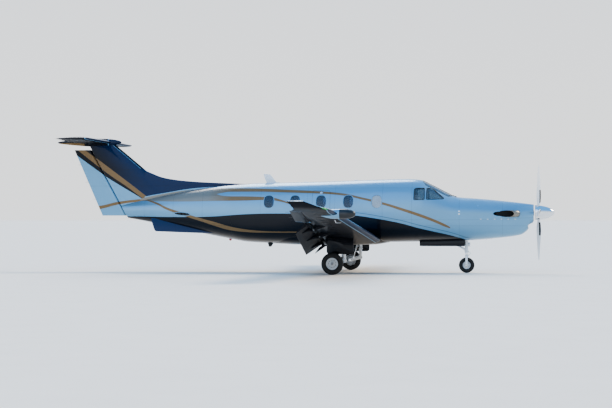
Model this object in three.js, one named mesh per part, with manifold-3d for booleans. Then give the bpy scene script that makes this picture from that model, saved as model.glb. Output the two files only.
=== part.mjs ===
// Single-engine turboprop aircraft with a T-tail, parked on its tricycle gear with its flaps down.
// Millimetres and degrees. +X points to the nose, +Y to port and +Z up.
// The origin is on the ground, under the middle of the length.
import * as THREE from "three";
import { mergeVertices } from "three/addons/utils/BufferGeometryUtils.js";
import Module from "manifold-3d";

const wasm = await Module();
wasm.setup();

// Clearances and walls
const GAP = 0.3;
const DOOR_GAP = 8;
const END_GAP = 20;
const NOSE_GAP = 10;
const CABIN_WALL = 80;
const COWL_WALL = 30;
const TAIL_WALL = 25;
const PANE = 20;
const PANE_DEPTH = 15;

// Fuselage: the frames where its three shells meet, and the facets round it
const BODY_SIDES = 24;
const FIREWALL_X = 5000;
const FIREWALL = 60;
const AFT_FRAME_X = -1900;
const NOSE_RING_X = 6620;
const NOSE_RING_DEPTH = 40;
const TAIL_CAP = 140;

// Stations from nose to tail: top, bottom, half width, height of the widest point, and the
// superellipse powers above and below it
const STATIONS = [
  { x: 6620, top: 1930, bottom: 1455, half: 240, wide: 1700, upper: 2.0, lower: 2.0 },
  { x: 6520, top: 1945, bottom: 1310, half: 290, wide: 1690, upper: 2.0, lower: 2.0 },
  { x: 6420, top: 1958, bottom: 1180, half: 330, wide: 1680, upper: 2.0, lower: 2.1 },
  { x: 6250, top: 1980, bottom: 1075, half: 380, wide: 1660, upper: 2.0, lower: 2.2 },
  { x: 5790, top: 2030, bottom: 1005, half: 470, wide: 1640, upper: 2.1, lower: 2.3 },
  { x: 5340, top: 2075, bottom: 960, half: 550, wide: 1640, upper: 2.1, lower: 2.4 },
  { x: 4880, top: 2112, bottom: 920, half: 625, wide: 1650, upper: 2.2, lower: 2.4 },
  { x: 4480, top: 2145, bottom: 902, half: 685, wide: 1660, upper: 2.2, lower: 2.4 },
  { x: 4200, top: 2270, bottom: 895, half: 722, wide: 1670, upper: 2.2, lower: 2.4 },
  { x: 3800, top: 2475, bottom: 885, half: 778, wide: 1680, upper: 2.3, lower: 2.4 },
  { x: 3420, top: 2635, bottom: 880, half: 822, wide: 1690, upper: 2.3, lower: 2.4 },
  { x: 3100, top: 2655, bottom: 876, half: 842, wide: 1690, upper: 2.3, lower: 2.4 },
  { x: 2300, top: 2640, bottom: 865, half: 845, wide: 1690, upper: 2.3, lower: 2.4 },
  { x: 700, top: 2590, bottom: 848, half: 845, wide: 1680, upper: 2.3, lower: 2.4 },
  { x: -820, top: 2555, bottom: 835, half: 840, wide: 1670, upper: 2.3, lower: 2.4 },
  { x: -1500, top: 2535, bottom: 865, half: 815, wide: 1670, upper: 2.3, lower: 2.4 },
  { x: -2040, top: 2500, bottom: 955, half: 740, wide: 1680, upper: 2.3, lower: 2.3 },
  { x: -3000, top: 2385, bottom: 1140, half: 560, wide: 1720, upper: 2.2, lower: 2.2 },
  { x: -3900, top: 2225, bottom: 1330, half: 385, wide: 1760, upper: 2.1, lower: 2.1 },
  { x: -4600, top: 2085, bottom: 1470, half: 245, wide: 1780, upper: 2.0, lower: 2.0 },
  { x: -5400, top: 1930, bottom: 1610, half: 95, wide: 1780, upper: 2.0, lower: 2.0 },
];

// Cabin windows: the starboard row, and the port row with its last one in the cargo door
const WINDOW = { width: 280, height: 350, z: 2010, power: 2.6, points: 8 };
const STARBOARD_WINDOWS = [2260, 1460, 690, -50, -800];
const PORT_WINDOWS = [1460, 690, -50, -800];

// Cockpit glazing of one side: the windscreen seen from above, the side panes seen from port
const SCREEN_OUTLINE = [
  [4390, 35], [4370, 200], [4320, 350], [4240, 450], [3610, 450], [3530, 300], [3500, 35],
];
const SCREEN_FROM_Z = 2000;
const REAR_PANE_OUTLINE = [[3300, 2060], [3590, 2065], [3590, 2385], [3380, 2385], [3310, 2360]];
const FRONT_PANE_OUTLINE = [
  [3650, 2070], [4110, 2085], [4130, 2105], [3850, 2340], [3770, 2385], [3650, 2385],
];

// Doors in the port side
const AIRSTAIR = { aft: 2550, front: 3160, bottom: 1100, top: 2450 };
const STEPS = { count: 4, depth: 190, margin: 60, thick: 30, root: 10 };
const CARGO = { aft: -1780, front: -430, bottom: 1130, top: 2400 };

// Wing of the port side, from root to tip: leading edge, chord, height, thickness ratio and cant
const WING_SECTIONS = [
  { y: 870.3, lead: 2350, chord: 2100, z: 955, thick: 0.155, cant: 0 },
  { y: 7500, lead: 1861, chord: 1073, z: 1717, thick: 0.12, cant: 0 },
  { y: 7780, lead: 1800, chord: 880, z: 1750, thick: 0.11, cant: 12 },
  { y: 7980, lead: 1660, chord: 720, z: 1800, thick: 0.1, cant: 45 },
  { y: 8140, lead: 1230, chord: 420, z: 1955, thick: 0.09, cant: 68 },
];
const WING_CAMBER = 0.02;
const PROFILE_STEPS = 7;
const BLUNT_EDGE = 0.0025;
const FLAP = { inner: 890, outer: 5210, shroudFrom: 0.72, shroudTo: 0.88, lip: 14, pivot: 0.7, drop: 110 };
const FLAP_REST = 40;
const AILERON = { inner: 5300, outer: 7460, hinge: 0.76 };

// Fixed fairing that carries the wing under the cabin, and the keel blister below it
const KEEL_STATIONS = [
  { x: 2560, bottom: 862, half: 260 },
  { x: 2120, bottom: 795, half: 560 },
  { x: 1000, bottom: 782, half: 640 },
  { x: 0, bottom: 788, half: 600 },
  { x: -1000, bottom: 835, half: 300 },
];
const KEEL_TOP = 1010;

// Tail: the rudder's hinge line and trailing edge in side view, fin, dorsal fin and tailplane
const HINGE_LINE = { x: -5240, z: 1740, slope: -0.5488 };
const RUDDER = { bottom: 1620, top: 3530, tailX: -5830, tailZ: 1610, tailSlope: -0.44, base: 68, tip: 46 };
const FIN_SECTIONS = [
  { z: 1850, lead: -3380, half: 105 },
  { z: 2820, lead: -4420, half: 92 },
  { z: 3690, lead: -5460, half: 66 },
];
const DORSAL_STATIONS = [
  { x: -1640, top: 2530, half: 14 },
  { x: -2620, top: 2572, half: 26 },
  { x: -3400, top: 2625, half: 36 },
  { x: -4000, top: 2715, half: 48 },
  { x: -4560, top: 2925, half: 60 },
];
const DORSAL_ROOT_Z = 2000;
const TAILPLANE_SECTIONS = [
  { y: 0, lead: -5560, chord: 1250, z: 3760, thick: 0.1, cant: 0 },
  { y: 2500, lead: -5580, chord: 915, z: 3760, thick: 0.09, cant: 0 },
  { y: 2600, lead: -5680, chord: 740, z: 3760, thick: 0.06, cant: 0 },
];
const ELEVATOR = { inner: 160, outer: 2470, hingeX: -6245 };
// Bullet at the fin's top: distance back from its tip, and radius
const BULLET_PROFILE = [
  [0, 0], [40, 34], [180, 78], [450, 112], [900, 118], [1400, 84], [1750, 46], [1900, 22], [1930, 0],
];
const BULLET_TIP_X = -5270;
const BULLET_Z = 3752;

// Strakes below the tail cone, seen from port
const STRAKE_OUTLINE = [[-2040, 1110], [-2850, 1110], [-4200, 1160], [-4350, 1560], [-3400, 1500]];
const STRAKE = { y: 285, thick: 16, cant: 14 };

// Propeller and spinner
const SHAFT_Z = 1700;
const PROPELLER_X = 6760;
const SPINNER = { back: 6660, tip: 7200, radius: 212, wall: 6 };
const HUB = { radius: 95, front: 6860 };
const BLADE_COUNT = 4;
const BLADE_SIDES = 8;
const SPINNER_SIDES = 16;
// Blade sections from root to tip: radius, chord, thickness and pitch
const BLADE_SECTIONS = [
  { r: 60, chord: 74, thick: 74, pitch: 52 },
  { r: 215, chord: 82, thick: 62, pitch: 50 },
  { r: 330, chord: 150, thick: 36, pitch: 44 },
  { r: 560, chord: 205, thick: 25, pitch: 35 },
  { r: 850, chord: 208, thick: 18, pitch: 26 },
  { r: 1130, chord: 178, thick: 13, pitch: 19 },
  { r: 1290, chord: 128, thick: 10, pitch: 16 },
  { r: 1330, chord: 56, thick: 7, pitch: 15 },
];

// Engine, intake and exhaust. The engine is drawn from the firewall to the end of its shaft.
const ENGINE_DROP = 20;
const ENGINE_PROFILE = [
  [5000.3, 0], [5000.3, 235], [5350, 235], [5450, 190], [5950, 200], [6020, 235],
  [6280, 235], [6380, 175], [6560, 150], [6570, 60], [6630, 60], [6630, 0],
];
const INTAKE = { x: 6180, z: 1345, halfWidth: 205, halfHeight: 82 };
const SHAFT_HOLE = 120;
const EXHAUST_PATH = [[6190, 262], [6175, 390], [6080, 482], [5860, 515], [5500, 530]];
const EXHAUST = { z: 1670, halfHeight: 92, halfWidth: 68, wall: 8, seal: 2 };
// Two points of the stack's slanted mouth, seen from above
const SCARF = { front: [6110, 552], aft: [5600, 462] };

// Landing gear: wheel centres and tyre sizes, main legs and nose leg
const MAIN_WHEEL = { x: 1190, y: 2270, radius: 300, width: 210, rim: 165 };
const NOSE_WHEEL = { x: 4740, y: 0, radius: 218, width: 150, rim: 112 };
const TYRE_SIDES = 24;
// Shares of a tyre's half width at its bead, its bulge, its shoulder and its tread
const TYRE = { bead: 0.55, bulge: 0.98, shoulder: 0.86, tread: 0.45 };
// Shares of a rim's radius at its hub and its dish, and the half width of the dish
const RIM = { hub: 0.34, dish: 0.6, dishWidth: 0.2 };
const MAIN_LEG = { x: 1500, y: 2085, radius: 52, knee: 395, linkHeight: 90, linkWidth: 64 };
const MAIN_RODS = { axle: 34, damper: 30, brace: 24, braceReach: 700 };
const MAIN_DOOR = { front: 1760, aft: 1020, bottom: 560, y: 2140, thick: 20, corner: 90 };
const NOSE_LEG = { radius: 46, foot: 560, linkFoot: 470, braceReach: 520, brace: 26 };
const NOSE_FORK = { side: 14, thick: 28, stub: 22 };
const NOSE_DOOR = { front: 4690, aft: 3420, bottom: 755, y: 170, thick: 16, corner: 30 };

// Cabin: its floor, instrument panel and control yokes
const FLOOR_TOP = 1130;
const FLOOR_THICK = 50;
const FLOOR_FRONT = 4600;
const PANEL = { aft: 4060, front: 4120, bottom: 1500, top: 2040, shieldFront: 4420, shieldThick: 30 };
const PEDESTAL = { aft: 3850, half: 90, top: 1560 };
const YOKE = { x: 3850, z: 1700, tube: 18, half: 140 };
// Seat parts as distances from the seat's middle and heights above the floor
const SEAT = {
  base: { reach: 150, half: 130, top: 220 },
  cushion: { aft: 230, front: 250, half: 220, bottom: 200, top: 370 },
  back: { aft: 290, front: 170, half: 215, bottom: 230, top: 870, lean: 12, pivotX: 230, pivotZ: 300 },
  rest: { aft: 400, front: 300, half: 130, bottom: 830, top: 960 },
};
const COCKPIT_SEAT = { x: 3450, y: 320, turn: 0 };
const CABIN_SEATS = [
  { name: "cabin_seat_front_left", x: 1850, y: 360, turn: 180 },
  { name: "cabin_seat_front_right", x: 1850, y: -360, turn: 180 },
  { name: "cabin_seat_rear_left", x: 500, y: 360, turn: 0 },
  { name: "cabin_seat_rear_right", x: 500, y: -360, turn: 0 },
];

// Radar pod on the starboard wing: distance back from its nose, and radius
const POD_PROFILE = [[0, 0], [25, 55], [110, 100], [260, 124], [560, 118], [800, 70], [920, 20], [930, 0]];
const POD = { tip: 2340, y: -6900, z: 1648 };

// Blade antenna on the roof, seen from port, and half its thickness
const ANTENNA_OUTLINE = [[-650, 2400], [-860, 2770], [-1080, 2820], [-1050, 2700], [-960, 2400]];
const ANTENNA_HALF = 12;

// Reach of the prisms and slabs that cut right through the fuselage
const SIDE_REACH = 1000;
const ROOF_REACH = 4000;

const material = (color, roughness, metalness) =>
  new THREE.MeshStandardMaterial({ color, roughness, metalness });
const SILVER_PAINT = material(0xaab4bf, 0.3, 0.5);
const NAVY_PAINT = material(0x141c30, 0.25, 0.2);
const BLUE_PAINT = material(0x1f4470, 0.3, 0.2);
const POLISHED = material(0xd9dde0, 0.15, 1);
const BLADE_PAINT = material(0xe4e6e8, 0.4, 0.1);
const STEEL = material(0x8a8d90, 0.4, 0.9);
const ENGINE_GREY = material(0x6d7074, 0.6, 0.6);
const LEG_PAINT = material(0xe6e8ea, 0.4, 0.1);
const TYRE_RUBBER = material(0x17171a, 0.9, 0);
const GLASS = material(0x26323c, 0.05, 0);
const LEATHER = material(0xb9a88e, 0.6, 0);
const CARPET = material(0x55504a, 0.95, 0);
const DARK_TRIM = material(0x24262a, 0.7, 0);
const RADOME_BLACK = material(0x1b1d20, 0.5, 0);

const vector = (x, y, z) => new THREE.Vector3(x, y, z);
const radians = THREE.MathUtils.degToRad;
const aircraft = new THREE.Group();

function place(name, finish, shape) {
  const mesh = new THREE.Mesh(geometryOf(shape), finish);
  mesh.name = name;
  aircraft.add(mesh);
}

// Solid from a closed geometry
function solid(geometry) {
  const bare = geometry.clone();
  bare.deleteAttribute("normal");
  bare.deleteAttribute("uv");
  const merged = mergeVertices(bare, 1e-3);
  const vertProperties = new Float32Array(merged.attributes.position.array);
  const triVerts = new Uint32Array(merged.index.array);
  return new wasm.Manifold(new wasm.Mesh({ numProp: 3, vertProperties, triVerts }));
}

function geometryOf(shape) {
  const mesh = shape.getMesh();
  const geometry = new THREE.BufferGeometry();
  geometry.setAttribute("position", new THREE.BufferAttribute(new Float32Array(mesh.vertProperties), 3));
  geometry.setIndex(new THREE.BufferAttribute(new Uint32Array(mesh.triVerts), 1));
  return geometry;
}

const cut = (shape, ...tools) => tools.reduce((left, tool) => left.subtract(tool), shape);
const join = (shape, ...others) => others.reduce((whole, other) => whole.add(other), shape);

function moved(shape, matrix) {
  const geometry = geometryOf(shape);
  geometry.applyMatrix4(matrix);
  if (matrix.determinant() < 0) {
    const index = geometry.index.array;
    for (let i = 0; i < index.length; i += 3) {
      [index[i], index[i + 1]] = [index[i + 1], index[i]];
    }
  }
  return solid(geometry);
}

const shifted = (shape, x, y, z) => moved(shape, new THREE.Matrix4().makeTranslation(x, y, z));
const mirrored = (shape) => moved(shape, new THREE.Matrix4().makeScale(1, -1, 1));

// Turn about a line through a point
function turned(shape, point, axis, degrees) {
  const matrix = new THREE.Matrix4().makeTranslation(point.x, point.y, point.z);
  matrix.multiply(new THREE.Matrix4().makeRotationAxis(axis, radians(degrees)));
  matrix.multiply(new THREE.Matrix4().makeTranslation(-point.x, -point.y, -point.z));
  return moved(shape, matrix);
}

function box(x0, x1, y0, y1, z0, z1) {
  const geometry = new THREE.BoxGeometry(x1 - x0, y1 - y0, z1 - z0);
  geometry.translate((x0 + x1) / 2, (y0 + y1) / 2, (z0 + z1) / 2);
  return solid(geometry);
}

// Closed skin through rings with the same number of points, capped flat at both ends.
// Its faces split the other way on the starboard side, so that a symmetric skin stays symmetric.
function loft(rings) {
  const count = rings[0].length;
  const index = [];
  for (let r = 0; r + 1 < rings.length; r++) {
    for (let i = 0; i < count; i++) {
      const next = (i + 1) % count;
      const a = r * count + i;
      const b = r * count + next;
      if (rings[r][i].y + rings[r][next].y >= 0) {
        index.push(a, b, b + count, a, b + count, a + count);
      } else {
        index.push(a, b, a + count, b, b + count, a + count);
      }
    }
  }
  const last = (rings.length - 1) * count;
  for (let low = 0, high = count - 1; high - low > 1; ) {
    index.push(low + 1, low, high);
    index.push(last + low, last + low + 1, last + high);
    low++;
    if (high - low > 1) {
      index.push(high - 1, low, high);
      index.push(last + low, last + high - 1, last + high);
      high--;
    }
  }
  const positions = rings.flat().flatMap((point) => point.toArray());
  return solid(facingOut(positions, index));
}

function facingOut(positions, index) {
  const corner = (i) => vector().fromArray(positions, index[i] * 3);
  let volume = 0;
  for (let i = 0; i < index.length; i += 3) {
    volume += corner(i).dot(corner(i + 1).cross(corner(i + 2)));
  }
  if (volume < 0) {
    index.reverse();
  }
  const geometry = new THREE.BufferGeometry();
  geometry.setAttribute("position", new THREE.Float32BufferAttribute(positions, 3));
  geometry.setIndex(index);
  return geometry;
}

function extruded(outline, depth) {
  const shape = new THREE.Shape(outline.map(([u, v]) => new THREE.Vector2(u, v)));
  return new THREE.ExtrudeGeometry(shape, { depth, bevelEnabled: false });
}

// Prism with an outline of (x, z) between two values of y
function sidePrism(outline, y0, y1) {
  return solid(extruded(outline, y1 - y0).rotateX(Math.PI / 2).translate(0, y1, 0));
}

// Prism with an outline of (x, y) between two heights
function topPrism(outline, z0, z1) {
  return solid(extruded(outline, z1 - z0).translate(0, 0, z0));
}

function rod(from, to, radius, endRadius = radius, sides = 12) {
  const along = to.clone().sub(from);
  const geometry = new THREE.CylinderGeometry(endRadius, radius, along.length(), sides);
  const turn = new THREE.Quaternion().setFromUnitVectors(vector(0, 1, 0), along.clone().normalize());
  geometry.applyQuaternion(turn);
  geometry.translate(...from.clone().add(to).multiplyScalar(0.5).toArray());
  return solid(geometry);
}

// Body of revolution along X from (x, radius) pairs
function spindle(profile, y, z, sides) {
  const points = profile.map(([x, radius]) => new THREE.Vector2(radius, x));
  const geometry = new THREE.LatheGeometry(points, sides);
  geometry.rotateZ(-Math.PI / 2);
  geometry.translate(0, y, z);
  return outward(geometry);
}

// Body of revolution about the Y line through a wheel centre, from (y, radius) pairs
function wheelTurned(profile, wheel, sides) {
  const points = profile.map(([y, radius]) => new THREE.Vector2(radius, y));
  const geometry = new THREE.LatheGeometry(points, sides);
  geometry.translate(wheel.x, wheel.y, wheel.radius);
  return outward(geometry);
}

function outward(geometry) {
  const bare = geometry.clone();
  bare.deleteAttribute("normal");
  bare.deleteAttribute("uv");
  const merged = mergeVertices(bare, 1e-3);
  const index = [];
  const old = merged.index.array;
  for (let i = 0; i < old.length; i += 3) {
    const [a, b, c] = [old[i], old[i + 1], old[i + 2]];
    if (a !== b && b !== c && a !== c) {
      index.push(a, b, c);
    }
  }
  return solid(facingOut(Array.from(merged.attributes.position.array), index));
}

const blend = (from, to, share) => from + (to - from) * share;

// Superellipse ring of a fuselage station, drawn in from the skin by the inset
function bodyRing(station, inset) {
  const ring = [];
  for (let i = 0; i < BODY_SIDES; i++) {
    const angle = (2 * Math.PI * i) / BODY_SIDES;
    const power = 2 / (Math.sin(angle) >= 0 ? station.upper : station.lower);
    const reach = Math.sin(angle) >= 0 ? station.top - station.wide : station.wide - station.bottom;
    const across = Math.sign(Math.cos(angle)) * Math.abs(Math.cos(angle)) ** power;
    const up = Math.sign(Math.sin(angle)) * Math.abs(Math.sin(angle)) ** power;
    ring.push(vector(station.x, (station.half - inset) * across, station.wide + (reach - inset) * up));
  }
  return ring;
}

const bodySolid = (inset) => loft(STATIONS.map((station) => bodyRing(station, inset)));
const slab = (x0, x1) => box(x0, x1, -1.5 * SIDE_REACH, 1.5 * SIDE_REACH, 0, ROOF_REACH);
const body = bodySolid(0);
const bodyCutter = bodySolid(-GAP);
const cabinSpace = bodySolid(CABIN_WALL).intersect(slab(AFT_FRAME_X - 100, FIREWALL_X - FIREWALL));
const cabinLining = bodySolid(CABIN_WALL + GAP).intersect(slab(AFT_FRAME_X, FIREWALL_X - FIREWALL - GAP));

// Rounded outline of a cabin window about its centre
function windowOutline(x) {
  const outline = [];
  for (let i = 0; i < WINDOW.points; i++) {
    const angle = (2 * Math.PI * (i + 0.5)) / WINDOW.points;
    const across = Math.sign(Math.cos(angle)) * Math.abs(Math.cos(angle)) ** (2 / WINDOW.power);
    const up = Math.sign(Math.sin(angle)) * Math.abs(Math.sin(angle)) ** (2 / WINDOW.power);
    outline.push([x + (WINDOW.width / 2) * across, WINDOW.z + (WINDOW.height / 2) * up]);
  }
  return outline;
}

// Outline drawn in towards its middle by a small margin
function shrunk(outline, margin) {
  const middle = [0, 1].map((k) => outline.reduce((sum, point) => sum + point[k], 0) / outline.length);
  return outline.map((point) => {
    const away = [point[0] - middle[0], point[1] - middle[1]];
    const share = 1 - margin / Math.hypot(...away);
    return [middle[0] + away[0] * share, middle[1] + away[1] * share];
  });
}

const sidePane = (outline, margin) => sidePrism(shrunk(outline, margin), 460, SIDE_REACH);
const screenPane = (margin) => topPrism(shrunk(SCREEN_OUTLINE, margin), SCREEN_FROM_Z, 2900);

function doorOpening({ aft, front, bottom, top }, margin) {
  return box(aft + margin, front - margin, 200, SIDE_REACH, bottom + margin, top - margin);
}

function makeFuselage() {
  const panes = [screenPane(0), sidePane(REAR_PANE_OUTLINE, 0), sidePane(FRONT_PANE_OUTLINE, 0)];
  const starboard = STARBOARD_WINDOWS.map((x) => sidePrism(windowOutline(x), -SIDE_REACH, -300));
  const port = PORT_WINDOWS.map((x) => sidePrism(windowOutline(x), 300, SIDE_REACH));
  const wall = cut(body, cabinSpace);
  let shell = wall.intersect(slab(AFT_FRAME_X, FIREWALL_X));
  shell = cut(shell, ...panes, ...panes.map(mirrored), ...starboard, ...port);
  shell = cut(shell, doorOpening(AIRSTAIR, 0), doorOpening(CARGO, 0));
  place("fuselage_shell", SILVER_PAINT, shell);
  const stairPanel = wall.intersect(doorOpening(AIRSTAIR, DOOR_GAP));
  place("airstair_door", SILVER_PAINT, join(stairPanel, ...stairSteps()));
  place("cargo_door", SILVER_PAINT, cut(wall, ...port).intersect(doorOpening(CARGO, DOOR_GAP)));
  makeCockpitPanes();
}

// Treads on the inside of the airstair door
function stairSteps() {
  const steps = [];
  const pitch = (AIRSTAIR.top - AIRSTAIR.bottom) / (STEPS.count + 1);
  const [aft, front] = [AIRSTAIR.aft + STEPS.margin, AIRSTAIR.front - STEPS.margin];
  const zone = cut(bodySolid(CABIN_WALL - STEPS.root), bodySolid(CABIN_WALL + STEPS.depth));
  for (let i = 1; i <= STEPS.count; i++) {
    const z = AIRSTAIR.bottom + pitch * i;
    const tread = box(aft, front, 200, SIDE_REACH, z - STEPS.thick / 2, z + STEPS.thick / 2);
    steps.push(tread.intersect(zone));
  }
  return steps;
}

function makeCockpitPanes() {
  const layer = cut(bodySolid(PANE_DEPTH), bodySolid(PANE_DEPTH + PANE));
  const screen = layer.intersect(screenPane(2 * GAP));
  const rear = layer.intersect(sidePane(REAR_PANE_OUTLINE, 2 * GAP));
  const front = layer.intersect(sidePane(FRONT_PANE_OUTLINE, 2 * GAP));
  const panes = { windscreen: screen, side_window_rear: rear, side_window_front: front };
  for (const [name, pane] of Object.entries(panes)) {
    place(`${name}_left`, GLASS, pane);
    place(`${name}_right`, GLASS, mirrored(pane));
  }
}

// Oval tube that leaves the engine and turns aft along the cowling, grown by a margin
function exhaustTube(margin, wall) {
  const oval = (cls, grow) => {
    const outline = new cls();
    outline.absellipse(0, 0, EXHAUST.halfHeight + grow, EXHAUST.halfWidth + grow, 0, 2 * Math.PI);
    return outline;
  };
  const section = oval(THREE.Shape, margin);
  if (wall > 0) {
    section.holes.push(oval(THREE.Path, margin - wall));
  }
  const path = new THREE.CatmullRomCurve3(EXHAUST_PATH.map(([x, y]) => vector(x, y, EXHAUST.z)));
  const options = { steps: 8, curveSegments: 6, extrudePath: path, bevelEnabled: false };
  return outward(new THREE.ExtrudeGeometry(section, options));
}

// Everything outboard and aft of the slanted mouth
function exhaustScarf() {
  const [fx, fy] = SCARF.front;
  const [ax, ay] = SCARF.aft;
  const slope = (fy - ay) / (fx - ax);
  const far = [ax - 400, ay - 400 * slope];
  return topPrism([[fx, fy], [fx, fy + 400], [far[0], far[1] + 800], far], 1400, 1950);
}

function makeEngine() {
  const inside = bodySolid(COWL_WALL).intersect(slab(FIREWALL_X - 100, NOSE_RING_X - NOSE_RING_DEPTH));
  const intake = solid(new THREE.CylinderGeometry(1, 1, 600, 20)
    .rotateZ(Math.PI / 2)
    .scale(1, INTAKE.halfWidth, INTAKE.halfHeight)
    .translate(INTAKE.x + 300, 0, INTAKE.z));
  const shaftHole = rod(vector(6400, 0, SHAFT_Z), vector(6700, 0, SHAFT_Z), SHAFT_HOLE, SHAFT_HOLE, 20);
  const stackHole = exhaustTube(GAP + EXHAUST.seal, 0);
  let cowling = cut(body, inside).intersect(slab(FIREWALL_X + GAP, NOSE_RING_X + 1));
  cowling = cut(cowling, intake, shaftHole, stackHole, mirrored(stackHole));
  place("engine_cowling", SILVER_PAINT, cowling);
  place("engine_block", ENGINE_GREY, spindle(ENGINE_PROFILE, 0, SHAFT_Z - ENGINE_DROP, 12));
  const stack = cut(exhaustTube(0, EXHAUST.wall), exhaustScarf());
  place("exhaust_stack_left", STEEL, stack);
  place("exhaust_stack_right", STEEL, mirrored(stack));
}

const hingeX = (z) => HINGE_LINE.x + HINGE_LINE.slope * (z - HINGE_LINE.z);

// Everything aft of a line parallel to the rudder hinge, moved forward by an offset
function behindHinge(offset) {
  const [low, high, back] = [1000, 4200, -8500];
  const outline = [[hingeX(low) + offset, low], [hingeX(high) + offset, high], [back, high], [back, low]];
  return sidePrism(outline, -600, 600);
}

function makeTailCone() {
  const inside = bodySolid(TAIL_WALL).intersect(slab(hingeX(1740) + TAIL_CAP, AFT_FRAME_X + 100));
  const cone = cut(body, inside).intersect(slab(-5500, AFT_FRAME_X - GAP));
  place("tail_cone", SILVER_PAINT, cut(cone, behindHinge(RUDDER.base + NOSE_GAP)));
  const strake = sidePrism(STRAKE_OUTLINE, STRAKE.y - STRAKE.thick / 2, STRAKE.y + STRAKE.thick / 2);
  const canted = turned(strake, vector(0, STRAKE.y, 1400), vector(1, 0, 0), STRAKE.cant);
  const left = cut(canted, bodyCutter);
  place("ventral_strake_left", BLUE_PAINT, left);
  place("ventral_strake_right", BLUE_PAINT, mirrored(left));
}

// Half thickness of a wing section of unit chord
function halfThickness(ratio, x) {
  const terms = 0.2969 * Math.sqrt(x) - 0.126 * x - 0.3516 * x ** 2 + 0.2843 * x ** 3 - 0.1036 * x ** 4;
  return 5 * ratio * terms + BLUNT_EDGE * x;
}

const camberAt = (camber, x) => 4 * camber * x * (1 - x);

// Point of a section at a share of its chord and a height above its chord line, as a share too
function sectionPoint(section, x, height) {
  const cant = radians(section.cant);
  const rise = height * section.chord;
  const along = section.lead - x * section.chord;
  return vector(along, section.y - rise * Math.sin(cant), section.z + rise * Math.cos(cant));
}

function sectionRing(section, camber, steps = PROFILE_STEPS) {
  const ring = [];
  for (let i = -steps; i <= steps; i++) {
    const x = (1 - Math.cos((Math.PI * Math.abs(i)) / steps)) / 2;
    const height = camberAt(camber, x) + (i < 0 ? 1 : -1) * halfThickness(section.thick, x);
    ring.push(sectionPoint(section, x, height));
  }
  return ring;
}

// Section of a surface at a span station, blended between the two sections around it
function sectionAt(sections, y) {
  const outer = Math.max(1, sections.findIndex((section) => section.y >= y));
  const [from, to] = [sections[outer - 1], sections[outer]];
  const share = (y - from.y) / (to.y - from.y);
  const mixed = { y };
  for (const key of ["lead", "chord", "z", "thick", "cant"]) {
    mixed[key] = blend(from[key], to[key], share);
  }
  return mixed;
}

// Share of a section's chord at which a control surface is hinged
const hingeShare = (device, section) => device.hinge ?? (section.lead - device.hingeX) / section.chord;

// Control surface between two span stations, with a round nose about its hinge line
function hingedSurface(sections, camber, device) {
  const rings = [device.inner, device.outer].map((y) => {
    const section = sectionAt(sections, y);
    const hinge = hingeShare(device, section);
    const radius = halfThickness(section.thick, hinge);
    const middle = camberAt(camber, hinge);
    const ring = [];
    for (const x of [1, 0.92, 0.84]) {
      ring.push(sectionPoint(section, x, camberAt(camber, x) + halfThickness(section.thick, x)));
    }
    for (let i = 0; i <= 6; i++) {
      const angle = (Math.PI * i) / 6;
      const ahead = radius * Math.sin(angle);
      ring.push(sectionPoint(section, hinge - ahead, middle + radius * Math.cos(angle)));
    }
    for (const x of [0.84, 0.92, 1]) {
      ring.push(sectionPoint(section, x, camberAt(camber, x) - halfThickness(section.thick, x)));
    }
    return ring;
  });
  return loft(rings);
}

// Room for a control surface in the wing or tailplane that carries it
function hingeBay(sections, device) {
  const outline = [];
  for (const y of [device.inner - END_GAP, device.outer + END_GAP]) {
    const section = sectionAt(sections, y);
    const hinge = hingeShare(device, section);
    const nose = halfThickness(section.thick, hinge) * section.chord;
    outline.push([section.lead - hinge * section.chord + nose + NOSE_GAP, y]);
  }
  outline.push([outline[1][0] - 1500, outline[1][1]], [outline[0][0] - 1500, outline[0][1]]);
  return topPrism(outline, 500, 5000);
}

// Room for the flap: open above behind the shroud's lip, and open below from the rear spar
function flapBay() {
  const rootY = WING_SECTIONS[0].y;
  const rings = [FLAP.inner - END_GAP + 1, FLAP.outer + END_GAP].map((y) => {
    const section = sectionAt(WING_SECTIONS, Math.max(y, rootY));
    const top = (x) => {
      const height = camberAt(WING_CAMBER, x) + halfThickness(section.thick, x);
      return section.z + height * section.chord - FLAP.lip;
    };
    const at = (x) => section.lead - x * section.chord;
    return [
      vector(at(FLAP.shroudFrom), y, section.z - 400),
      vector(at(FLAP.shroudFrom), y, top(FLAP.shroudFrom)),
      vector(at(FLAP.shroudTo), y, top(FLAP.shroudTo)),
      vector(at(FLAP.shroudTo), y, section.z + 400),
      vector(at(1.3), y, section.z + 400),
      vector(at(1.3), y, section.z - 400),
    ];
  });
  // The two rooms overlap by a hair, so that no film is left between them
  const hair = 0.01;
  const lower = loft(rings.map((ring) => [
    ring[0],
    ring[1],
    ring[2],
    vector(ring[2].x, ring[2].y, ring[0].z),
  ]));
  const upper = loft(rings.map((ring) => [
    vector(ring[2].x + hair, ring[2].y, ring[0].z),
    vector(ring[3].x + hair, ring[3].y, ring[3].z),
    ring[4],
    ring[5],
  ]));
  return [lower, upper];
}

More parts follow.
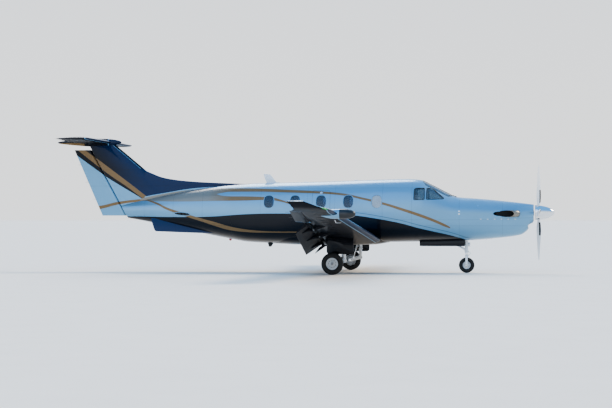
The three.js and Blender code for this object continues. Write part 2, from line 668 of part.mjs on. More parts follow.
// Flap in its retracted place, slimmed where it lies under the shroud
function flapSolid() {
  const clear = FLAP.lip + DOOR_GAP;
  const rings = [FLAP.inner, FLAP.outer].map((y) => {
    const section = sectionAt(WING_SECTIONS, y);
    const upper = (x) => camberAt(WING_CAMBER, x) + halfThickness(section.thick, x);
    const above = (x, less) => upper(x) - less / section.chord;
    const below = (x) => camberAt(WING_CAMBER, x) - halfThickness(section.thick, x);
    const nose = FLAP.shroudFrom + NOSE_GAP / section.chord;
    const middle = (above(nose + 0.03, clear) + below(nose + 0.03)) / 2;
    return [
      sectionPoint(section, 1, above(1, 0)),
      sectionPoint(section, FLAP.shroudTo + 0.02, above(FLAP.shroudTo + 0.02, 0)),
      sectionPoint(section, FLAP.shroudTo - 0.002, above(FLAP.shroudTo, clear)),
      sectionPoint(section, nose + 0.07, above(nose + 0.07, clear)),
      sectionPoint(section, nose + 0.02, above(nose + 0.02, clear + 16)),
      sectionPoint(section, nose, middle),
      sectionPoint(section, nose + 0.012, below(nose + 0.012) + 18 / section.chord),
      sectionPoint(section, nose + 0.04, below(nose + 0.04)),
      sectionPoint(section, 0.9, below(0.9)),
      sectionPoint(section, 1, below(1)),
    ];
  });
  return loft(rings);
}

// Hinge line of the flap, below the wing
function flapHinge() {
  const [inner, outer] = [FLAP.inner, FLAP.outer].map((y) => {
    const section = sectionAt(WING_SECTIONS, y);
    const below = camberAt(WING_CAMBER, FLAP.pivot) - halfThickness(section.thick, FLAP.pivot);
    return sectionPoint(section, FLAP.pivot, below).add(vector(0, 0, -FLAP.drop));
  });
  return { point: inner, axis: outer.clone().sub(inner).normalize() };
}

function makeWing() {
  let wing = loft(WING_SECTIONS.map((section) => sectionRing(section, WING_CAMBER)));
  wing = cut(wing, ...flapBay(), hingeBay(WING_SECTIONS, AILERON));
  const hinge = flapHinge();
  const flap = turned(flapSolid(), hinge.point, hinge.axis, -FLAP_REST);
  const aileron = hingedSurface(WING_SECTIONS, WING_CAMBER, AILERON);
  place("wing_left", SILVER_PAINT, wing);
  place("wing_right", SILVER_PAINT, mirrored(wing));
  place("flap_left", NAVY_PAINT, flap);
  place("flap_right", NAVY_PAINT, mirrored(flap));
  place("aileron_left", SILVER_PAINT, aileron);
  place("aileron_right", SILVER_PAINT, mirrored(aileron));
  const pod = spindle(POD_PROFILE.map(([back, radius]) => [POD.tip - back, radius]), POD.y, POD.z, 12);
  place("radar_pod", RADOME_BLACK, cut(pod, grownWing(mirrored(wing))));
  return wing;
}

// Wing moved a little every way, so that what it cuts keeps clear of it
function grownWing(wing) {
  return join(shifted(wing, 0, 0, GAP), shifted(wing, 0, 0, -GAP), shifted(wing, GAP, 0, 0));
}

function makeCentreFairing() {
  const root = { ...WING_SECTIONS[0], y: 870 };
  const carry = loft([root, { ...root, y: -870 }].map((section) => sectionRing(section, WING_CAMBER)));
  const keel = loft(KEEL_STATIONS.map((station) => {
    const ring = [];
    for (let i = 0; i < 16; i++) {
      const angle = (2 * Math.PI * i) / 16;
      const depth = KEEL_TOP - station.bottom;
      const up = Math.sin(angle) >= 0 ? 1 : depth;
      ring.push(vector(station.x, station.half * Math.cos(angle), KEEL_TOP + up * Math.sin(angle)));
    }
    return ring;
  }));
  place("wing_centre_fairing", NAVY_PAINT, cut(join(carry, keel), bodyCutter));
}

// Fin section at a height, cut off at the rudder's hinge line
function finRing(section) {
  const chord = section.lead - hingeX(section.z) + 60;
  const shares = [1, 0.75, 0.45, 0.2, 0.06, 0.012];
  const width = (share) => section.half * Math.sqrt(Math.min(1, share * 3.2)) * (1 - 0.22 * share ** 2);
  const sideOf = (sign) => (share) => vector(section.lead - share * chord, sign * width(share), section.z);
  return [...shares.map(sideOf(1)), ...shares.map(sideOf(-1)).reverse()];
}

function makeFin() {
  const fin = loft(FIN_SECTIONS.map(finRing));
  const dorsal = loft(DORSAL_STATIONS.map(({ x, top, half }) => [
    vector(x, half * 0.35, top),
    vector(x, half, top - 60),
    vector(x, half * 1.6, DORSAL_ROOT_Z),
    vector(x, -half * 1.6, DORSAL_ROOT_Z),
    vector(x, -half, top - 60),
    vector(x, -half * 0.35, top),
  ]));
  return cut(join(fin, dorsal), behindHinge(RUDDER.base + NOSE_GAP), bodyCutter);
}

function makeRudder() {
  const rings = [RUDDER.bottom, RUDDER.top].map((z) => {
    const share = (z - RUDDER.bottom) / (RUDDER.top - RUDDER.bottom);
    const radius = blend(RUDDER.base, RUDDER.tip, share);
    const tail = RUDDER.tailX + RUDDER.tailSlope * (z - RUDDER.tailZ);
    const ring = [vector(tail, 5, z)];
    ring.push(vector(blend(hingeX(z), tail, 0.5), radius * 0.6, z));
    for (let i = 0; i <= 6; i++) {
      const angle = (Math.PI * i) / 6;
      ring.push(vector(hingeX(z) + radius * Math.sin(angle), radius * Math.cos(angle), z));
    }
    ring.push(vector(blend(hingeX(z), tail, 0.5), -radius * 0.6, z));
    ring.push(vector(tail, -5, z));
    return ring;
  });
  place("rudder", SILVER_PAINT, loft(rings));
}

function makeTail() {
  const half = loft(TAILPLANE_SECTIONS.map((section) => sectionRing(section, 0, 6)));
  const bulletProfile = BULLET_PROFILE.map(([back, radius]) => [BULLET_TIP_X - back, radius]);
  const bullet = spindle(bulletProfile, 0, BULLET_Z, 12);
  const bay = hingeBay(TAILPLANE_SECTIONS, ELEVATOR);
  const tailplane = join(cut(join(half, mirrored(half)), bay, mirrored(bay)), bullet);
  const fin = cut(makeFin(), shifted(tailplane, 0, 0, -GAP), tailplane);
  const elevator = hingedSurface(TAILPLANE_SECTIONS, 0, ELEVATOR);
  place("vertical_fin", BLUE_PAINT, fin);
  place("tailplane", NAVY_PAINT, tailplane);
  place("elevator_left", NAVY_PAINT, elevator);
  place("elevator_right", NAVY_PAINT, mirrored(elevator));
  makeRudder();
}

// Tyre outline as a closed ring and the rim inside it
function makeWheel(prefix, wheel) {
  const { radius, width, rim } = wheel;
  const half = width / 2;
  const wall = radius - rim;
  const [bulgeRadius, shoulderRadius] = [rim + 0.4 * wall, radius - 0.16 * wall];
  const tyre = [
    [-half * TYRE.bead, rim], [-half * TYRE.bulge, bulgeRadius], [-half * TYRE.shoulder, shoulderRadius],
    [-half * TYRE.tread, radius], [half * TYRE.tread, radius], [half * TYRE.shoulder, shoulderRadius],
    [half * TYRE.bulge, bulgeRadius], [half * TYRE.bead, rim], [-half * TYRE.bead, rim],
  ];
  const inner = rim - GAP;
  const face = half * TYRE.bead;
  const rimProfile = [
    [-face, 0], [-face, inner * RIM.hub], [-half * RIM.dishWidth, inner * RIM.dish],
    [-face, inner], [face, inner], [half * RIM.dishWidth, inner * RIM.dish],
    [face, inner * RIM.hub], [face, 0],
  ];
  place(`${prefix}_tyre`, TYRE_RUBBER, wheelTurned(tyre, wheel, TYRE_SIDES));
  place(`${prefix}_rim`, POLISHED, wheelTurned(rimProfile, wheel, TYRE_SIDES));
}

// Outline of a gear door that hangs open, with its lower corners cut off
function hangingDoor({ aft, front, bottom, corner }, top) {
  return [
    [aft, bottom + corner], [aft + corner, bottom], [front - corner, bottom],
    [front, bottom + corner], [front, top], [aft, top],
  ];
}

function makeMainGear(wing) {
  const { x, y, radius, knee, linkHeight, linkWidth } = MAIN_LEG;
  const axleZ = MAIN_WHEEL.radius;
  const strut = rod(vector(x, y, knee), vector(x, y, 1150), radius);
  const linkAft = MAIN_WHEEL.x - 45;
  const linkOutline = [
    [x + 60, knee - 60], [x + 60, knee + 40], [x - 60, knee + 40],
    [linkAft, axleZ + linkHeight / 2], [linkAft, axleZ - linkHeight / 2], [x - 40, knee - 75],
  ];
  const link = sidePrism(linkOutline, y - linkWidth / 2, y + linkWidth / 2);
  const hubFace = MAIN_WHEEL.y - (MAIN_WHEEL.width / 2) * TYRE.bead;
  const axle = rod(vector(MAIN_WHEEL.x, y, axleZ), vector(MAIN_WHEEL.x, hubFace - 6, axleZ), MAIN_RODS.axle);
  const damper = rod(vector(x - 215, y, axleZ + 60), vector(x - 60, y, 860), MAIN_RODS.damper);
  const brace = rod(vector(x, y, 700), vector(x, y - MAIN_RODS.braceReach, 1080), MAIN_RODS.brace);
  const clearOfWing = grownWing(wing);
  const leg = cut(join(strut, link, axle, damper, brace), clearOfWing);
  const doorOutline = hangingDoor(MAIN_DOOR, 1200);
  const plate = sidePrism(doorOutline, MAIN_DOOR.y, MAIN_DOOR.y + MAIN_DOOR.thick);
  const door = cut(plate, clearOfWing);
  place("main_gear_leg_left", LEG_PAINT, leg);
  place("main_gear_leg_right", LEG_PAINT, mirrored(leg));
  place("main_gear_door_left", NAVY_PAINT, door);
  place("main_gear_door_right", NAVY_PAINT, mirrored(door));
  makeWheel("main_wheel_left", MAIN_WHEEL);
  makeWheel("main_wheel_right", { ...MAIN_WHEEL, y: -MAIN_WHEEL.y });
}

function makeNoseGear() {
  const { x, radius, width } = NOSE_WHEEL;
  const cylinder = rod(vector(x, 0, NOSE_LEG.foot), vector(x, 0, 1000), NOSE_LEG.radius);
  const drag = rod(vector(x - NOSE_LEG.braceReach, 0, 1000), vector(x, 0, 640), NOSE_LEG.brace);
  place("nose_gear_leg", LEG_PAINT, cut(join(cylinder, drag), bodyCutter));
  const piston = rod(vector(x, 0, NOSE_LEG.linkFoot), vector(x, 0, NOSE_LEG.foot - 6), NOSE_LEG.radius * 0.8);
  const inside = width / 2 + NOSE_FORK.side;
  const outside = inside + NOSE_FORK.thick;
  const crown = box(x - 48, x + 48, -outside, outside, radius * 2 + 18, radius * 2 + 58);
  const tine = box(x - 36, x + 36, inside, outside, radius - 36, radius * 2 + 40);
  const hubFace = (width / 2) * TYRE.bead;
  const stub = rod(vector(x, inside + 16, radius), vector(x, hubFace + 6, radius), NOSE_FORK.stub);
  place("nose_gear_fork", LEG_PAINT, join(piston, crown, tine, mirrored(tine), stub, mirrored(stub)));
  makeWheel("nose_wheel", NOSE_WHEEL);
  const plate = sidePrism(hangingDoor(NOSE_DOOR, 980), NOSE_DOOR.y, NOSE_DOOR.y + NOSE_DOOR.thick);
  const door = cut(plate, bodyCutter);
  place("nose_gear_door_left", NAVY_PAINT, door);
  place("nose_gear_door_right", NAVY_PAINT, mirrored(door));
}

// Blade that stands up from the hub
function bladeSolid() {
  const rings = BLADE_SECTIONS.map(({ r, chord, thick, pitch }) => {
    const ring = [];
    for (let i = 0; i < BLADE_SIDES; i++) {
      const angle = (2 * Math.PI * i) / BLADE_SIDES;
      const across = (chord / 2) * Math.cos(angle);
      const deep = (thick / 2) * Math.sin(angle);
      const turn = radians(pitch);
      ring.push(vector(
        PROPELLER_X + across * Math.sin(turn) + deep * Math.cos(turn),
        across * Math.cos(turn) - deep * Math.sin(turn),
        SHAFT_Z + r,
      ));
    }
    return ring;
  });
  return loft(rings);
}

function makePropeller() {
  const centre = vector(PROPELLER_X, 0, SHAFT_Z);
  const along = vector(1, 0, 0);
  const length = SPINNER.tip - SPINNER.back;
  const plateFront = SPINNER.back + SPINNER.wall;
  const outer = [[SPINNER.back, 0], [SPINNER.back, SPINNER.radius]];
  const inner = [[plateFront, 0], [plateFront, SPINNER.radius - SPINNER.wall]];
  for (const share of [0.25, 0.5, 0.72, 0.88, 0.97]) {
    const radius = SPINNER.radius * Math.sqrt(1 - share ** 1.75);
    outer.push([SPINNER.back + share * length, radius]);
    if (share < 0.9) {
      inner.push([SPINNER.back + share * length, radius - SPINNER.wall]);
    }
  }
  outer.push([SPINNER.tip, 0]);
  inner.push([SPINNER.back + 0.93 * length, 0]);
  const blade = bladeSolid();
  const socket = rod(vector(PROPELLER_X, 0, SHAFT_Z), vector(PROPELLER_X, 0, SHAFT_Z + 300), 50, 50, 16);
  let spinner = cut(spindle(outer, 0, SHAFT_Z, SPINNER_SIDES), spindle(inner, 0, SHAFT_Z, SPINNER_SIDES));
  const hubBack = vector(plateFront + GAP, 0, SHAFT_Z);
  let hub = rod(hubBack, vector(HUB.front, 0, SHAFT_Z), HUB.radius, HUB.radius, 16);
  for (let i = 0; i < BLADE_COUNT; i++) {
    const angle = (360 / BLADE_COUNT) * i;
    spinner = cut(spinner, turned(socket, centre, along, angle));
    hub = join(hub, turned(blade, centre, along, angle));
  }
  place("propeller_spinner", POLISHED, spinner);
  place("propeller_blades", BLADE_PAINT, hub);
}

// Seat facing forward on a floor, turned about its middle
function seatSolid({ x, y, turn }) {
  const { base, cushion, back, rest } = SEAT;
  const floor = FLOOR_TOP + GAP;
  const pedestal = box(x - base.reach, x + base.reach, y - base.half, y + base.half, floor, floor + base.top);
  const seatPad = seatBlock({ ...cushion, front: -cushion.front }, x, y, floor);
  const backPad = seatBlock(back, x, y, floor);
  const pivot = vector(x - back.pivotX, 0, floor + back.pivotZ);
  const leaned = turned(backPad, pivot, vector(0, 1, 0), -back.lean);
  const seat = join(pedestal, seatPad, leaned, seatBlock(rest, x, y, floor));
  return turned(seat, vector(x, y, 0), vector(0, 0, 1), turn);
}

// Pad of a seat, with its ends measured back from the seat's middle
function seatBlock({ aft, front, half, bottom, top }, x, y, floor) {
  return box(x - aft, x - front, y - half, y + half, floor + bottom, floor + top);
}

function makeCabin() {
  const side = SIDE_REACH - 100;
  const floorSlab = box(AFT_FRAME_X + 10, FLOOR_FRONT, -side, side, FLOOR_TOP - FLOOR_THICK, FLOOR_TOP);
  place("cabin_floor", CARPET, cabinLining.intersect(floorSlab));
  const aboveFloor = box(-3000, 0, -side, side, FLOOR_TOP + GAP, 3000);
  const aftWall = slab(AFT_FRAME_X + 20, AFT_FRAME_X + 60).intersect(aboveFloor);
  place("aft_bulkhead", DARK_TRIM, cabinLining.intersect(aftWall));
  const face = box(PANEL.aft, PANEL.front, -side, side, PANEL.bottom, PANEL.top);
  const shieldBottom = PANEL.top - PANEL.shieldThick;
  const shield = box(PANEL.aft + 10, PANEL.shieldFront, -side, side, shieldBottom, PANEL.top);
  const { aft, half, top } = PEDESTAL;
  const pedestal = box(aft, PANEL.front, -half, half, FLOOR_TOP + GAP, top);
  const yokes = [-COCKPIT_SEAT.y, COCKPIT_SEAT.y].map((y) => join(
    rod(vector(PANEL.aft + 10, y, YOKE.z), vector(YOKE.x + 10, y, YOKE.z), YOKE.tube, YOKE.tube, 8),
    box(YOKE.x - 15, YOKE.x + 15, y - YOKE.half, y + YOKE.half, YOKE.z - 10, YOKE.z + 90),
  ));
  const panel = join(face.intersect(cabinLining), shield.intersect(cabinLining), pedestal, ...yokes);
  place("instrument_panel", DARK_TRIM, panel);
  place("cockpit_seat_left", LEATHER, seatSolid(COCKPIT_SEAT));
  place("cockpit_seat_right", LEATHER, seatSolid({ ...COCKPIT_SEAT, y: -COCKPIT_SEAT.y }));
  for (const seat of CABIN_SEATS) {
    place(seat.name, LEATHER, seatSolid(seat));
  }
}

function makeAntenna() {
  place("roof_antenna", LEG_PAINT, cut(sidePrism(ANTENNA_OUTLINE, -ANTENNA_HALF, ANTENNA_HALF), bodyCutter));
}

makeFuselage();
makeEngine();
makeTailCone();
const portWing = makeWing();
makeCentreFairing();
makeTail();
makeMainGear(portWing);
makeNoseGear();
makePropeller();
makeCabin();
makeAntenna();

export default aircraft;
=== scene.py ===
import functools
import math

import bmesh
import bpy
from mathutils import Matrix, Vector


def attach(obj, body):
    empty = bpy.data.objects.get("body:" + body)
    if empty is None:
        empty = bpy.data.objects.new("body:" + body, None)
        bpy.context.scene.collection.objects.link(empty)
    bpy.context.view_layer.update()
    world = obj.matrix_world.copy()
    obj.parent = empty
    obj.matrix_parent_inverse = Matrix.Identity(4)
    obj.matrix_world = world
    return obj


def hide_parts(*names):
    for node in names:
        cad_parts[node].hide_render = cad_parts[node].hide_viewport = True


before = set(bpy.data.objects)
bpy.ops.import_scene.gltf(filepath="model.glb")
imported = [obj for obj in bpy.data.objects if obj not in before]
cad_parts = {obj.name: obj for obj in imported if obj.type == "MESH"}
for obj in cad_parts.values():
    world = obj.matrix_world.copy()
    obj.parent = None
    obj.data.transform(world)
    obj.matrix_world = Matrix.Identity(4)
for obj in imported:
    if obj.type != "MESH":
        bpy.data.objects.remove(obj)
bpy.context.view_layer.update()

bl_info = {
    "name": "Turboprop Aircraft Dresser",
    "version": (1, 0, 0),
    "blender": (4, 5, 0),
    "location": "View3D > Sidebar > Aircraft",
    "description": "Skins, paint, glazing, cabin, gear and studio for a single-engine turboprop aircraft",
    "category": "Object",
}

# All tables below are in millimetres, and MM turns them to Blender's metres.
# +X points to the nose, +Y to port and +Z up, as in the frame.
MM = 0.001
SIDES = ("left", "right")
# Edges sharper than this many degrees stay sharp
CREASE_ANGLE = 35

# Fuselage stations: x, top, bottom, half width, height of the widest point, and the superellipse powers
# above and below it
STATIONS = (
    (6620, 1930, 1455, 240, 1700, 2.0, 2.0),
    (6520, 1945, 1310, 290, 1690, 2.0, 2.0),
    (6420, 1958, 1180, 330, 1680, 2.0, 2.1),
    (6250, 1980, 1075, 380, 1660, 2.0, 2.2),
    (5790, 2030, 1005, 470, 1640, 2.1, 2.3),
    (5340, 2075, 960, 550, 1640, 2.1, 2.4),
    (4880, 2112, 920, 625, 1650, 2.2, 2.4),
    (4480, 2145, 902, 685, 1660, 2.2, 2.4),
    (4200, 2270, 895, 722, 1670, 2.2, 2.4),
    (3800, 2475, 885, 778, 1680, 2.3, 2.4),
    (3420, 2635, 880, 822, 1690, 2.3, 2.4),
    (3100, 2655, 876, 842, 1690, 2.3, 2.4),
    (2300, 2640, 865, 845, 1690, 2.3, 2.4),
    (700, 2590, 848, 845, 1680, 2.3, 2.4),
    (-820, 2555, 835, 840, 1670, 2.3, 2.4),
    (-1500, 2535, 865, 815, 1670, 2.3, 2.4),
    (-2040, 2500, 955, 740, 1680, 2.3, 2.3),
    (-3000, 2385, 1140, 560, 1720, 2.2, 2.2),
    (-3900, 2225, 1330, 385, 1760, 2.1, 2.1),
    (-4600, 2085, 1470, 245, 1780, 2.0, 2.0),
    (-5400, 1930, 1610, 95, 1780, 2.0, 2.0),
)
RING_STEP = 60
BODY_SIDES = 96

# Frames where the three shells meet, their walls, and the gaps between pieces
AFT_FRAME_X = -1900
FIREWALL_X = 5000
NOSE_X = STATIONS[0][0]
TAIL_X = STATIONS[-1][0]
FIREWALL_DEPTH = 60
CABIN_WALL = 80
TAIL_WALL = 25
COWL_WALL = 30
GAP = 0.3
DOOR_GAP = 8
NOSE_GAP = 10
END_GAP = 20

# Doors in the port side, and the radius of their corners
AIRSTAIR = {"aft": 2550, "front": 3160, "bottom": 1100, "top": 2450, "corner": 90}
AIRSTAIR_HANDLE = (2720, 1560)
CARGO = {"aft": -1780, "front": -430, "bottom": 1130, "top": 2400, "corner": 16}
CARGO_HANDLE = (-1080, 1330)
CARGO_HINGE = {"y": 530, "z": 2400, "relief": 24}
# Reach of the prisms that cut these openings through the skin, across or upwards
CUTS = {"door": (200, 1000), "window": (300, 1000), "side_pane": (460, 1000), "screen": (2000, 2900)}
STAIR_STEPS = 4
STEP_DEPTH = 190
STEP_THICK = 30

# Windows
WINDOW = {"width": 280, "height": 350, "z": 2010, "power": 2.6}
STARBOARD_WINDOWS = (2260, 1460, 690, -50, -800)
PORT_WINDOWS = (1460, 690, -50)
CARGO_WINDOWS = (-800,)
SCREEN_OUTLINE = ((4390, 35), (4370, 200), (4320, 350), (4240, 450), (3610, 450), (3530, 300), (3500, 35))
REAR_PANE = ((3300, 2060), (3590, 2065), (3590, 2385), (3380, 2385), (3310, 2360))
FRONT_PANE = ((3650, 2070), (4110, 2085), (4130, 2105), (3850, 2340), (3770, 2385), (3650, 2385))
PANE_CORNER = 28
# Sections of the rims and seals: (grown by, inset) pairs
RIM_ROWS = ((0, 12), (0, -2.5), (12, -2.5), (15, 1.5))
SEAL_ROWS = ((-3, 10), (-3, -1.5), (11, -2.0), (14, 1.5))
EXIT_OUTLINE = ((440, 1700), (940, 1700), (940, 2330), (440, 2330))
EXIT_HANDLE = (690, 2262)
VENT = {"x": -3370, "z": 1668, "reach": 235, "height": 42, "tilt": -4}

# Wing sections of the port side: y, leading edge x, chord, z, thickness ratio, cant of the tip and camber
WING_SECTIONS = (
    (870.3, 2350, 2100, 955, 0.155, 0, 0.02),
    (7500, 1861, 1073, 1717, 0.12, 0, 0.02),
    (7780, 1800, 880, 1750, 0.11, 12, 0.02),
    (7980, 1660, 720, 1800, 0.1, 45, 0.02),
    (8140, 1230, 420, 1955, 0.09, 68, 0.02),
)
WING_TIP_START = 7350
TIP_LAMP_STATIONS = range(7850, 7971, 15)
FUEL_CAP_Y = 5900
PITOT_Y = 6100
BLUNT_EDGE = 0.0025
PROFILE_STEPS = 28
FLAP = {"inner": 890, "outer": 5210, "shroud_from": 0.72, "shroud_to": 0.88, "lip": 14,
        "pivot": 0.7, "drop": 110, "rest": 40}
FLAP_TRACKS = (1500, 3050, 4650)
TRACK_REACH = 0.2
AILERON = {"inner": 5300, "outer": 7460, "hinge": 0.76}
KEEL_STATIONS = ((2560, 862, 260), (2120, 795, 560), (1000, 782, 640), (0, 788, 600), (-1000, 835, 300))
KEEL_TOP = 1010

# Tail
HINGE_LINE = {"x": -5240, "z": 1740, "slope": -0.5488}
RUDDER = {"bottom": 1620, "top": 3530, "tail_x": -5830, "tail_z": 1610, "tail_slope": -0.44,
          "base": 68, "tip": 46}
RUDDER_SEAL = {"root": 6, "gap": 4, "half": 12}
FIN_SECTIONS = ((1850, -3380, 105), (2820, -4420, 92), (3690, -5460, 66))
DORSAL_STATIONS = ((-1640, 2530, 14), (-2620, 2572, 26), (-3400, 2625, 36), (-4000, 2715, 48),
                   (-4560, 2925, 60))
DORSAL_ROOT_Z = 2000
TAILPLANE_SECTIONS = (
    (0, -5560, 1250, 3760, 0.1, 0, 0),
    (2500, -5580, 915, 3760, 0.09, 0, 0),
    (2600, -5680, 740, 3760, 0.06, 0, 0),
)
ELEVATOR = {"inner": 160, "outer": 2470, "hinge_x": -6245}
BULLET_PROFILE = ((0, 0), (40, 34), (180, 78), (450, 112), (900, 118), (1400, 84), (1750, 46), (1900, 22),
                  (1930, 0))
BULLET = {"tip": -5270, "z": 3752}
STRAKE_OUTLINE = ((-2040, 1110), (-2850, 1110), (-4200, 1160), (-4350, 1560), (-3400, 1500))
STRAKE = {"y": 285, "thick": 16, "cant": 14, "foot": 1400}
# Places and sizes of the small fittings; an antenna pad is its station, half length and half width
ROOF_PADS = ((-810, 210, 26), (1600, 62, 62), (150, 46, 46))
BELLY_ANTENNA_X = -870
BEACON_X = -2050
DRAIN_PLACES = ((5300, 120), (5450, -140), (3900, 0))
STATIC_PORTS = ((4560, 1740), (4560, 1660), (5080, 1900))
WIPER_ARM = ((4436, 150), (4410, 172), (4330, 236))
WIPER_BLADE = ((4378, 60), (4356, 160), (4322, 236), (4280, 320), (4254, 372))
AILERON_WICKS = (5600, 6200, 6800, 7300)
ELEVATOR_WICKS = (700, 1300, 1900, 2300)
RUDDER_WICKS = (2100, 2600, 3100)
ROOF_ANTENNA = ((-650, 2500), (-860, 2770), (-900, 2800), (-1080, 2820), (-1050, 2700), (-960, 2500))

# Propeller: blade sections are radius, chord, thickness and pitch in degrees
SHAFT_Z = 1700
PROPELLER_X = 6760
SPINNER = {"back": 6660, "tip": 7200, "radius": 212}
HUB = {"radius": 95, "front": 6860}
BLADE_COUNT = 4
BOOT_REACH = (255, 650)
BLADE_SECTIONS = (
    (60, 74, 74, 52), (150, 74, 72, 51), (215, 82, 62, 50), (330, 150, 36, 44), (560, 205, 25, 35),
    (850, 208, 18, 26), (1130, 178, 13, 19), (1290, 128, 10, 16), (1330, 56, 7, 15),
)
INTAKE = {"x": 6180, "z": 1345, "half_width": 205, "half_height": 82}
SHAFT_HOLE = 120
COWL_SHOULDER = 1900
EXHAUST_PATH = ((6190, 262), (6175, 390), (6080, 482), (5860, 515), (5500, 530))
EXHAUST = {"z": 1670, "half_height": 92, "half_width": 68, "wall": 8,
           "scarf_front": (6110, 552), "scarf_aft": (5600, 462), "rings": 56, "sides": 56}

# Landing gear
MAIN_WHEEL = {"x": 1190, "y": 2270, "radius": 300, "width": 210, "rim": 165}
NOSE_WHEEL = {"x": 4740, "y": 0, "radius": 218, "width": 150, "rim": 112}
# Tie bolts of a rim, and where its face and its web lie as shares of the half width
RIM = {"bolts": 9, "face": 0.55, "web": 0.16}
MAIN_LEG = {"x": 1500, "y": 2085, "knee": 395, "top": 1080}
MAIN_DOOR = {"front": 1760, "aft": 1020, "bottom": 560, "top": 1120, "y": 2140, "thick": 20, "corner": 90}
NOSE_LEG = {"foot": 560, "top": 905, "collar": (598, 628), "lamp_z": 800}
NOSE_FORK = {"gap": 15, "thick": 26, "crown": 18}
NOSE_DOOR = {"front": 4690, "aft": 3420, "bottom": 755, "top": 960, "y": 170, "thick": 16, "corner": 30}

# Cabin
FLOOR_TOP = 1130
PANEL = {"aft": 4060, "top": 2040, "displays": (-420, -210, 0, 210, 420), "low": 1700, "high": 1860}
LEVER_PLACES = (-30, 0, 30)
SEATS = (
    ("cockpit_seat_left", 3450, 320, 0),
    ("cockpit_seat_right", 3450, -320, 0),
    ("cabin_seat_front_left", 1850, 360, 180),
    ("cabin_seat_front_right", 1850, -360, 180),
    ("cabin_seat_rear_left", 500, 360, 0),
    ("cabin_seat_rear_right", 500, -360, 0),
)
POD_PROFILE = ((0, 0), (25, 55), (110, 100), (260, 124), (560, 118), (800, 70), (920, 20), (930, 0))
POD = {"tip": 2340, "y": -6900, "z": 1648, "radome": 400}

# Paint edges in side view, as (x, z) points
SILVER_NAVY_EDGE = ((-5400, 1600), (-4582, 1593), (-3822, 1578), (-3068, 1578), (-2381, 1595),
                    (-1936, 1626), (-1439, 1656), (-721, 1675), (500, 1668), (1300, 1645), (1723, 1612),
                    (2144, 1550), (2540, 1482), (2985, 1390), (3379, 1280), (3870, 1165), (4287, 1070),
                    (4753, 930), (5000, 850), (6620, 500))
PINSTRIPE = ((1300, 1745), (1896, 1680), (2540, 1569), (2985, 1480), (3379, 1375), (3870, 1258),
             (4287, 1160), (4753, 1008), (5000, 915))
DORSAL_EDGE = ((-5400, 1985), (-4700, 2130), (-4429, 2195), (-3822, 2300), (-3369, 2377), (-2873, 2428),
               (-2411, 2450), (-1936, 2475), (-1439, 2520), (-1200, 2600))
UPPER_STRIPE_TOP = ((-4700, 2105), (-4429, 2168), (-3822, 2281), (-3369, 2347), (-2873, 2388),
                    (-2411, 2404), (-1936, 2402), (-1008, 2385), (-579, 2366), (1152, 2262), (1872, 2124),
                    (2491, 1976), (2985, 1826), (3379, 1699), (3821, 1534), (4200, 1362), (4310, 1296))
UPPER_STRIPE_BOTTOM = ((-4700, 2060), (-4429, 2085), (-3822, 2135), (-3369, 2170), (-2873, 2205),
                       (-2450, 2220), (-2200, 2262), (-1936, 2294), (-1008, 2292), (-579, 2278),
                       (1152, 2198), (1872, 2060), (2491, 1904), (2985, 1744), (3379, 1611), (3821, 1450),
                       (4200, 1290), (4310, 1256))
SECOND_STRIPE_TOP = ((-4700, 2075), (-4429, 2105), (-3822, 2155), (-3369, 2190), (-2873, 2225),
                     (-2450, 2238), (-2200, 2190), (-1936, 2168), (-1439, 2164), (-1008, 2150),
                     (-721, 2130), (-493, 2078), (-242, 1992), (60, 1845), (330, 1700))
SECOND_STRIPE_BOTTOM = ((-4700, 2050), (-4368, 2040), (-3822, 2024), (-3369, 2020), (-2411, 2034),
                        (-1936, 2036), (-1439, 2042), (-1008, 2054), (-721, 2046), (-493, 2014),
                        (-242, 1950), (60, 1822), (330, 1695))
SHADE_START = -1900
SHADE_END = -2600
LOWER_STRIPE_TOP = ((-4550, 2110), (-4186, 2008), (-3822, 1851), (-3339, 1698), (-2769, 1532),
                    (-2381, 1432), (-1936, 1308), (-1439, 1222), (-1008, 1182), (-242, 1166), (700, 1170))
LOWER_STRIPE_BOTTOM = ((-4550, 2070), (-4186, 1950), (-3822, 1778), (-3339, 1618), (-2769, 1444),
                       (-2381, 1318), (-1936, 1200), (-1439, 1146), (-1008, 1132), (-242, 1132),
                       (700, 1152))
FIN_GOLD_TOP = ((-6900, 3950), (-6330, 3510), (-5810, 3150), (-5390, 2840), (-4970, 2530), (-4560, 2220),
                (-4300, 2030))
FIN_GOLD_BOTTOM = ((-6900, 3780), (-6490, 3460), (-6020, 3100), (-5550, 2760), (-5080, 2450), (-4710, 2180),
                   (-4500, 2030))
FIN_SILVER_TOP = ((-6900, 3600), (-6540, 3330), (-6170, 3070), (-5650, 2710), (-5180, 2430), (-4770, 2190),
                  (-4550, 2060))
RUDDER_GOLD_TOP = ((-6000, 1895), (-5880, 1910), (-5390, 2015), (-4970, 2070), (-4550, 2110))
RUDDER_GOLD_BOTTOM = ((-6000, 1800), (-5880, 1815), (-5390, 1930), (-4970, 1995), (-4550, 2030))
DORSAL_START = -1250
DORSAL_TOP_Z = 2980
TAIL_GOLD = {"aft": -6360, "top": 3735, "half": 140}
# Metres over which the fin's blue fades to navy: behind the leading edge, and in height
FADE_BEHIND = (0.25, 1.0)
FADE_HEIGHT = (2.2, 3.0)
# Black rubber of the wing and tailplane boots, tinted blue as a painted reflection of the sky; the fin's
# boot is plain black rubber
BOOT_AND_SKY_REFLECTION_CODE = "#12233c"
FIN_BOOT_CODE = "#10151d"

